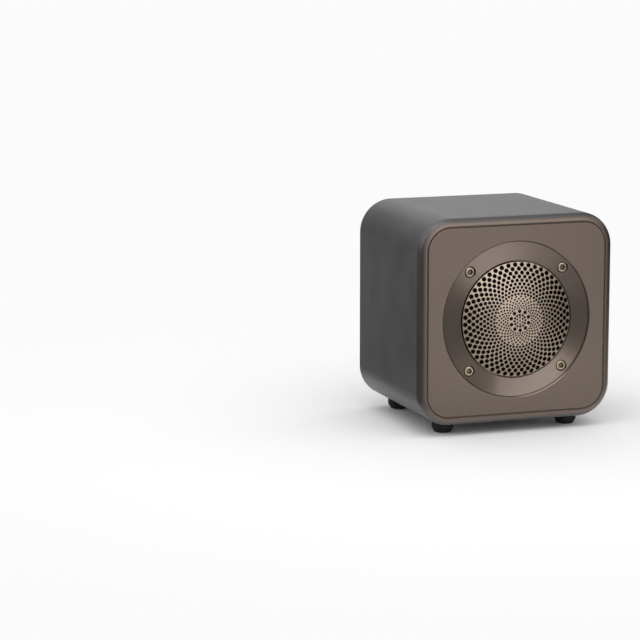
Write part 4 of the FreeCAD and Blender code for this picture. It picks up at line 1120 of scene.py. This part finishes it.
keys = {}
for name in KEYS:
    low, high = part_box(name + "_button")
    middle_of_key = Vector(((low.x + high.x) / 2, 0, (low.z + high.z) / 2))
    key = turned(name + "_key_cap", key_section(low.y, high.y), button_plastic, KEY_POINTS)
    keys[name] = (place(key, middle_of_key), middle_of_key, high.y)
print("turned", len(keys), "keys")

# %% [markdown]
# A sign is a flat strip of one width along a short path: a bar for less, two bars for more, an
# open ring and a bar for power. The same strip first cuts the key and then fills the cut, a
# little below the surface, so ink and key never share a face that shows.

# %% Cut and fill the signs
SIGN_WIDTH, SIGN_LENGTH = 0.55 * MM, 3.4 * MM
SIGN_DEPTH, SIGN_SINK = 0.5 * MM, 0.05 * MM
POWER_RADIUS, POWER_OPEN = 1.5 * MM, 35
POWER_STEPS = 28
POWER_BAR = (0.2 * MM, 2.0 * MM)


def strip(name, path, front, back):
    """A flat strip of the sign's width along a path of (x, z) points, between two depths."""
    loops = []
    for step, (x, z) in enumerate(path):
        before = Vector(path[max(step - 1, 0)])
        after = Vector(path[min(step + 1, len(path) - 1)])
        side = (after - before).normalized().orthogonal() * SIGN_WIDTH / 2
        loops.append([Vector((x + side.x, front, z + side.y)), Vector((x - side.x, front, z - side.y)),
                      Vector((x - side.x, back, z - side.y)), Vector((x + side.x, back, z + side.y))])
    middles = [[sum(loop, Vector()) / len(loop)] for loop in (loops[0], loops[-1])]
    return loft(name, [middles[0], *loops, middles[1]], sign_paint)


def sign(kind, name, front, back):
    """The sign of one key about the origin, as one closed mesh."""
    half = SIGN_LENGTH / 2
    if kind == "power":
        ring = rounded(POWER_RADIUS, POWER_STEPS, 90 + POWER_OPEN, 450 - POWER_OPEN)
        whole = strip(name, ring, front, back)
        bar = strip("bar", [(0, POWER_BAR[0]), (0, POWER_BAR[1])], front, back)
        return carve(whole, bar, "UNION")
    whole = strip(name, [(-half, 0), (half, 0)], front, back)
    if kind == "plus":
        carve(whole, strip("bar", [(0, -half), (0, half)], front, back), "UNION")
    return whole


for kind, (key, centre, top_y) in keys.items():
    floor_y = top_y - SIGN_DEPTH
    carve(key, place(sign(kind, "cut", floor_y, top_y + OVERCUT), centre))
    ink = place(sign(kind, kind + "_sign", floor_y, top_y - KEY_DISH - SIGN_SINK), centre)
    stands_for(key, kind + "_key", "button_plastic", kind + "_button")
    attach(ink, kind + "_key")
    print(key.name, len(key.data.polygons), "faces, with", ink.name)

# %% [markdown]
# ## Surround and spider
# The rubber roll round the cone and the corrugated cloth behind it bend when the cone moves:
# their outer edge stays with the cabinet and their inner edge goes with the cone. It measures
# that weight along a line, and these discs need it by radius, so the weights are written again
# from each point's radius.

# %% Bend the soft rings between cabinet and cone
MERGE = 0.001 * MM


def flexing_ring(name, node, slot):
    """A merged copy of a soft ring that bends from its outer edge to its inner edge."""
    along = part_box(node)[0].y
    bm = bmesh.new()
    bm.from_mesh(nodes[node].data)
    bmesh.ops.remove_doubles(bm, verts=bm.verts, dist=MERGE)
    mesh = bpy.data.meshes.new(name)
    bm.to_mesh(mesh)
    bm.free()
    shade(mesh)
    piece = show(name, mesh, finishes[slot])
    radii = [math.hypot(v.co.x, v.co.z - axis_z) for v in mesh.vertices]
    outer, inner = max(radii), min(radii)
    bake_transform(piece, "cabinet", "cone_assembly", start=(outer, along, axis_z), end=(inner, along, axis_z))
    for weight, radius in zip(piece.data.attributes["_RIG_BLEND"].data, radii):
        share = (outer - radius) / (outer - inner)
        weight.value = share * share * (3 - 2 * share)
    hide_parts(node)
    print(name, len(mesh.polygons), "faces, bends over", round((outer - inner) / MM, 1), "mm")


flexing_ring("rubber_surround", "surround", "surround_rubber")
flexing_ring("corrugated_spider", "spider", "spider_cloth")

# %% [markdown]
# ## The floor
# A product photograph is mostly floor and light. Close to the speaker this floor is plain white
# paint, which keeps the shadow. Further off it glows white, but only to the camera and to mirrors
# and clear plastic. More light would also whiten it, and would bleach the speaker with it.

# %% Lay the floor
FLOOR_SIZE = 12.0
POOL_NEAR, POOL_FAR = 0.11, 0.34
WHITE = "#FBFBFB"


def seen_directly(tree):
    """A factor that is 1 for rays from the camera, a mirror or clear plastic."""
    path = add(tree, "ShaderNodeLightPath").outputs
    either = add(tree, "ShaderNodeMath", {
        0: path["Is Camera Ray"], 1: path["Is Glossy Ray"]}, operation="MAXIMUM")
    return add(tree, "ShaderNodeMath", {0: either, 1: path["Is Transmission Ray"]}, operation="MAXIMUM")


def white_floor():
    # Plain white that fades into the white behind, with a soft shadow near the speaker
    material, tree = blank("white_painted_floor")
    paint = add(tree, "ShaderNodeBsdfDiffuse", {"Color": linear(WHITE)})
    glow = add(tree, "ShaderNodeEmission", {"Color": linear(WHITE), "Strength": 1.0})
    spot = add(tree, "ShaderNodeTexCoord").outputs["Object"]
    distance = add(tree, "ShaderNodeVectorMath", {0: spot}, operation="LENGTH").outputs["Value"]
    far = add(tree, "ShaderNodeMapRange", {"Value": distance, "From Min": POOL_NEAR, "From Max": POOL_FAR},
              interpolation_type="SMOOTHSTEP")
    factor = add(tree, "ShaderNodeMath", {0: far, 1: seen_directly(tree)}, operation="MULTIPLY")
    floor = add(tree, "ShaderNodeMixShader", {0: factor, 1: paint, 2: glow})
    add(tree, "ShaderNodeOutputMaterial", {"Surface": floor})
    return material


def card(name, corners, material):
    """One flat face in one material."""
    mesh = bpy.data.meshes.new(name)
    mesh.from_pydata(corners, [], [list(range(len(corners)))])
    piece = show(name, mesh, material)
    return piece


side = FLOOR_SIZE / 2
card("studio_floor", [(-side, -side, 0), (side, -side, 0), (side, side, 0), (-side, side, 0)], white_floor())
print("floor laid,", FLOOR_SIZE, "m square")

# %% [markdown]
# ## Cards of felt
# Metal shows what stands round it, so in an all-white room it would look flat. A photographer
# stands dark and grey cards beside it, and lays some on the floor, to shade its edges. Each card
# here is one face of felt that only mirror-like rays see: it can't show in the picture, and it
# takes no light from the floor.

# %% Stand the cards round the speaker
LIFT = 0.001
FELT_ROUGHNESS, FELT_FIBRE, FELT_NAP = (0.9, 1.0), 1.0, 0.1
CARDS = {
    "dark_felt": (("#303030", "#3C3C3C"), {
        "front_card": [(-0.17, -0.62, 0), (0.1, -0.72, 0), (0.1, -0.72, 0.15), (-0.17, -0.62, 0.15)],
        "right_card": [(0.24, -0.45, 0), (0.24, 0.06, 0), (0.24, 0.06, 0.16), (0.24, -0.45, 0.16)],
        "right_back_card": [(0.24, 0.06, 0), (0.24, 0.35, 0), (0.24, 0.35, 0.45), (0.24, 0.06, 0.45)]}),
    "grey_felt": (("#5E5E5E", "#6A6A6A"), {
        "front_left_card": [(-0.1, -0.05, 0), (-0.17, -0.62, 0), (-0.17, -0.62, 0.15), (-0.2, -0.05, 0.45)],
        "left_card": [(-0.06, 0.14, 0), (-0.06, 0.02, 0), (-0.2, 0.02, 0.45), (-0.2, 0.14, 0.45)],
        "back_card": [(-0.6, 0.45, 0), (-0.05, 0.45, 0), (-0.05, 0.45, 0.5), (-0.6, 0.45, 0.5)],
        "far_floor_card": [(-0.3, -0.6, LIFT), (0.5, -0.6, LIFT), (0.5, -0.3, LIFT), (-0.3, -0.3, LIFT)],
        "left_floor_card": [
            (-0.3, -0.3, LIFT), (0.03, -0.3, LIFT), (-0.05, -0.05, LIFT), (-0.3, -0.05, LIFT)],
        "right_floor_card": [
            (0.17, -0.3, LIFT), (0.5, -0.3, LIFT), (0.5, -0.05, LIFT), (0.08, -0.05, LIFT)]}),
    "pale_felt": (("#868686", "#929292"), {
        "edge_card": [(-0.06, 0.02, 0), (-0.06, -0.05, 0), (-0.2, -0.05, 0.45), (-0.2, 0.02, 0.45)],
        "near_floor_card": [
            (-0.04, -0.083, LIFT), (0.09, -0.083, LIFT), (0.08, -0.05, LIFT), (-0.05, -0.05, LIFT)]}),
}


def only_in_mirrors(piece):
    """Hides a stage piece from the camera and from plain light."""
    piece.visible_camera = False
    piece.visible_diffuse = False
    piece.visible_shadow = False


for felt_name, (colours, places) in CARDS.items():
    # An even tone with no shine of its own
    felt = plain_finish(felt_name, colours, FELT_ROUGHNESS, FELT_FIBRE, FELT_NAP, MOULDED)
    for name, corners in places.items():
        only_in_mirrors(card(name, corners, felt))
    print(len(places), "cards of", felt_name)

# %% [markdown]
# ## Softboxes
# Two boxes of glowing cloth give the highlights: a wide one in front, which the plate and the
# turned ring pick up, and one high on the left, for the gleam on the upper left corner. Lamps
# would do it too, but a glowing face shows as a soft shape in the metal, and like the cards it
# adds no light to the floor.

# %% Hang the softboxes
SOFTBOXES = {
    "front_softbox": (3.2, [
        (-0.15, -0.95, 0.1), (0.44, -0.95, 0.1), (0.44, -0.9, 0.45), (-0.15, -0.9, 0.45)]),
    "corner_softbox": (11.0, [
        (-0.72, -0.2, 0.5), (-0.38, -0.2, 0.86), (-0.38, 0.3, 0.86), (-0.72, 0.3, 0.5)]),
}


def lit_cloth(name, level):
    # An even white glow
    material, tree = blank(name)
    glow = add(tree, "ShaderNodeEmission", {"Color": linear(WHITE), "Strength": level})
    add(tree, "ShaderNodeOutputMaterial", {"Surface": glow})
    return material


for name, (level, corners) in SOFTBOXES.items():
    only_in_mirrors(card(name, corners, lit_cloth(name + "_cloth", level)))
    print(name, "at level", level)

# %% [markdown]
# The lower part of the turned ring gleams most, as if a narrow reflector lay close in front of it,
# shaded so that nothing else sees it. Light linking is that shade: only the pieces of one collection
# receive this glow. Its cloth is a gauze that lets other rays through, so it hides no floor.

# %% Lay a strip for the ring alone
STRIP_LEVEL = 5.5
STRIP_CORNERS = [
    (-0.004, -0.058, LIFT), (0.08, -0.08, LIFT), (0.08, -0.046, LIFT), (-0.004, -0.046, LIFT)]


def lit_gauze(level):
    # A white glow that can be seen through
    material, tree = blank("lit_gauze")
    glow = add(tree, "ShaderNodeEmission", {"Color": linear(WHITE), "Strength": level})
    clear = add(tree, "ShaderNodeBsdfTransparent")
    both = add(tree, "ShaderNodeAddShader", {0: glow, 1: clear})
    add(tree, "ShaderNodeOutputMaterial", {"Surface": both})
    return material


ring_strip = card("ring_strip", STRIP_CORNERS, lit_gauze(STRIP_LEVEL))
only_in_mirrors(ring_strip)
lit_by_strip = bpy.data.collections.new("lit_by_strip")
lit_by_strip.objects.link(trim_ring)
ring_strip.light_linking.receiver_collection = lit_by_strip
print(ring_strip.name, "shines on", trim_ring.name)

# %% [markdown]
# ## Room and lamp
# The room is an even white, with a greyer ceiling for mirror-like rays, as a real room has. It
# lights the speaker from all sides. One large lamp above the front gives the shadow its
# direction.

# %% Light the room
CEILING_FROM, CEILING_TO, CEILING_LEVEL = 0.35, 0.75, 0.5
AMBIENT = 0.9
LAMP_PLACE = Vector((-0.18, -0.4, 0.95))
LAMP_SIZE, LAMP_POWER = 1.0, 2.8

world = bpy.data.worlds.new("white_studio")
bpy.context.scene.world = world
world.use_nodes = True
room = world.node_tree
room.nodes.clear()
way = add(room, "ShaderNodeTexCoord").outputs["Generated"]
upward = add(room, "ShaderNodeSeparateXYZ", {"Vector": way}).outputs["Z"]
ceiling = add(room, "ShaderNodeMapRange", {
    "Value": upward, "From Min": CEILING_FROM, "From Max": CEILING_TO,
    "To Min": 1.0, "To Max": CEILING_LEVEL})
level = add(room, "ShaderNodeMapRange", {"Value": seen_directly(room), "To Min": AMBIENT, "To Max": ceiling})
sky = add(room, "ShaderNodeBackground", {"Color": linear(WHITE), "Strength": level})
add(room, "ShaderNodeOutputWorld", {"Surface": sky})

lamp = bpy.data.lights.new("overhead_softbox", "AREA")
lamp.size = LAMP_SIZE
lamp.energy = LAMP_POWER
softbox = bpy.data.objects.new("overhead_softbox", lamp)
softbox.location = LAMP_PLACE
softbox.rotation_euler = (driver_axis - LAMP_PLACE).to_track_quat("-Z", "Y").to_euler()
bpy.context.collection.objects.link(softbox)
print("room at", AMBIENT, "and a lamp of", LAMP_POWER, "W")

# %% [markdown]
# ## Camera
# The photograph's view could be found by eye, but it was worked out from the plate's outline and
# the ring: a long lens, a little to the left and above. The speaker stands right of the middle of
# the frame, so the camera is placed by where the plate's centre lies in its view.

# %% Place the camera
LENS = 151.255
YAW, PITCH = math.radians(19.134), math.radians(9.809)
PLATE_IN_VIEW = Vector((0.085016, 0.000218, -1.161409))

turn = Matrix.Rotation(-YAW, 3, "Z") @ Matrix.Rotation(math.pi / 2 - PITCH, 3, "X")
view = bpy.data.cameras.new("camera")
view.lens = LENS
camera = bpy.data.objects.new("camera", view)
camera.rotation_euler = turn.to_euler()
camera.location = Vector((0, face_y, axis_z)) - turn @ PLATE_IN_VIEW
bpy.context.collection.objects.link(camera)
bpy.context.scene.camera = camera
bpy.context.scene.view_settings.view_transform = "Standard"
print("camera at", [round(value, 3) for value in camera.location])
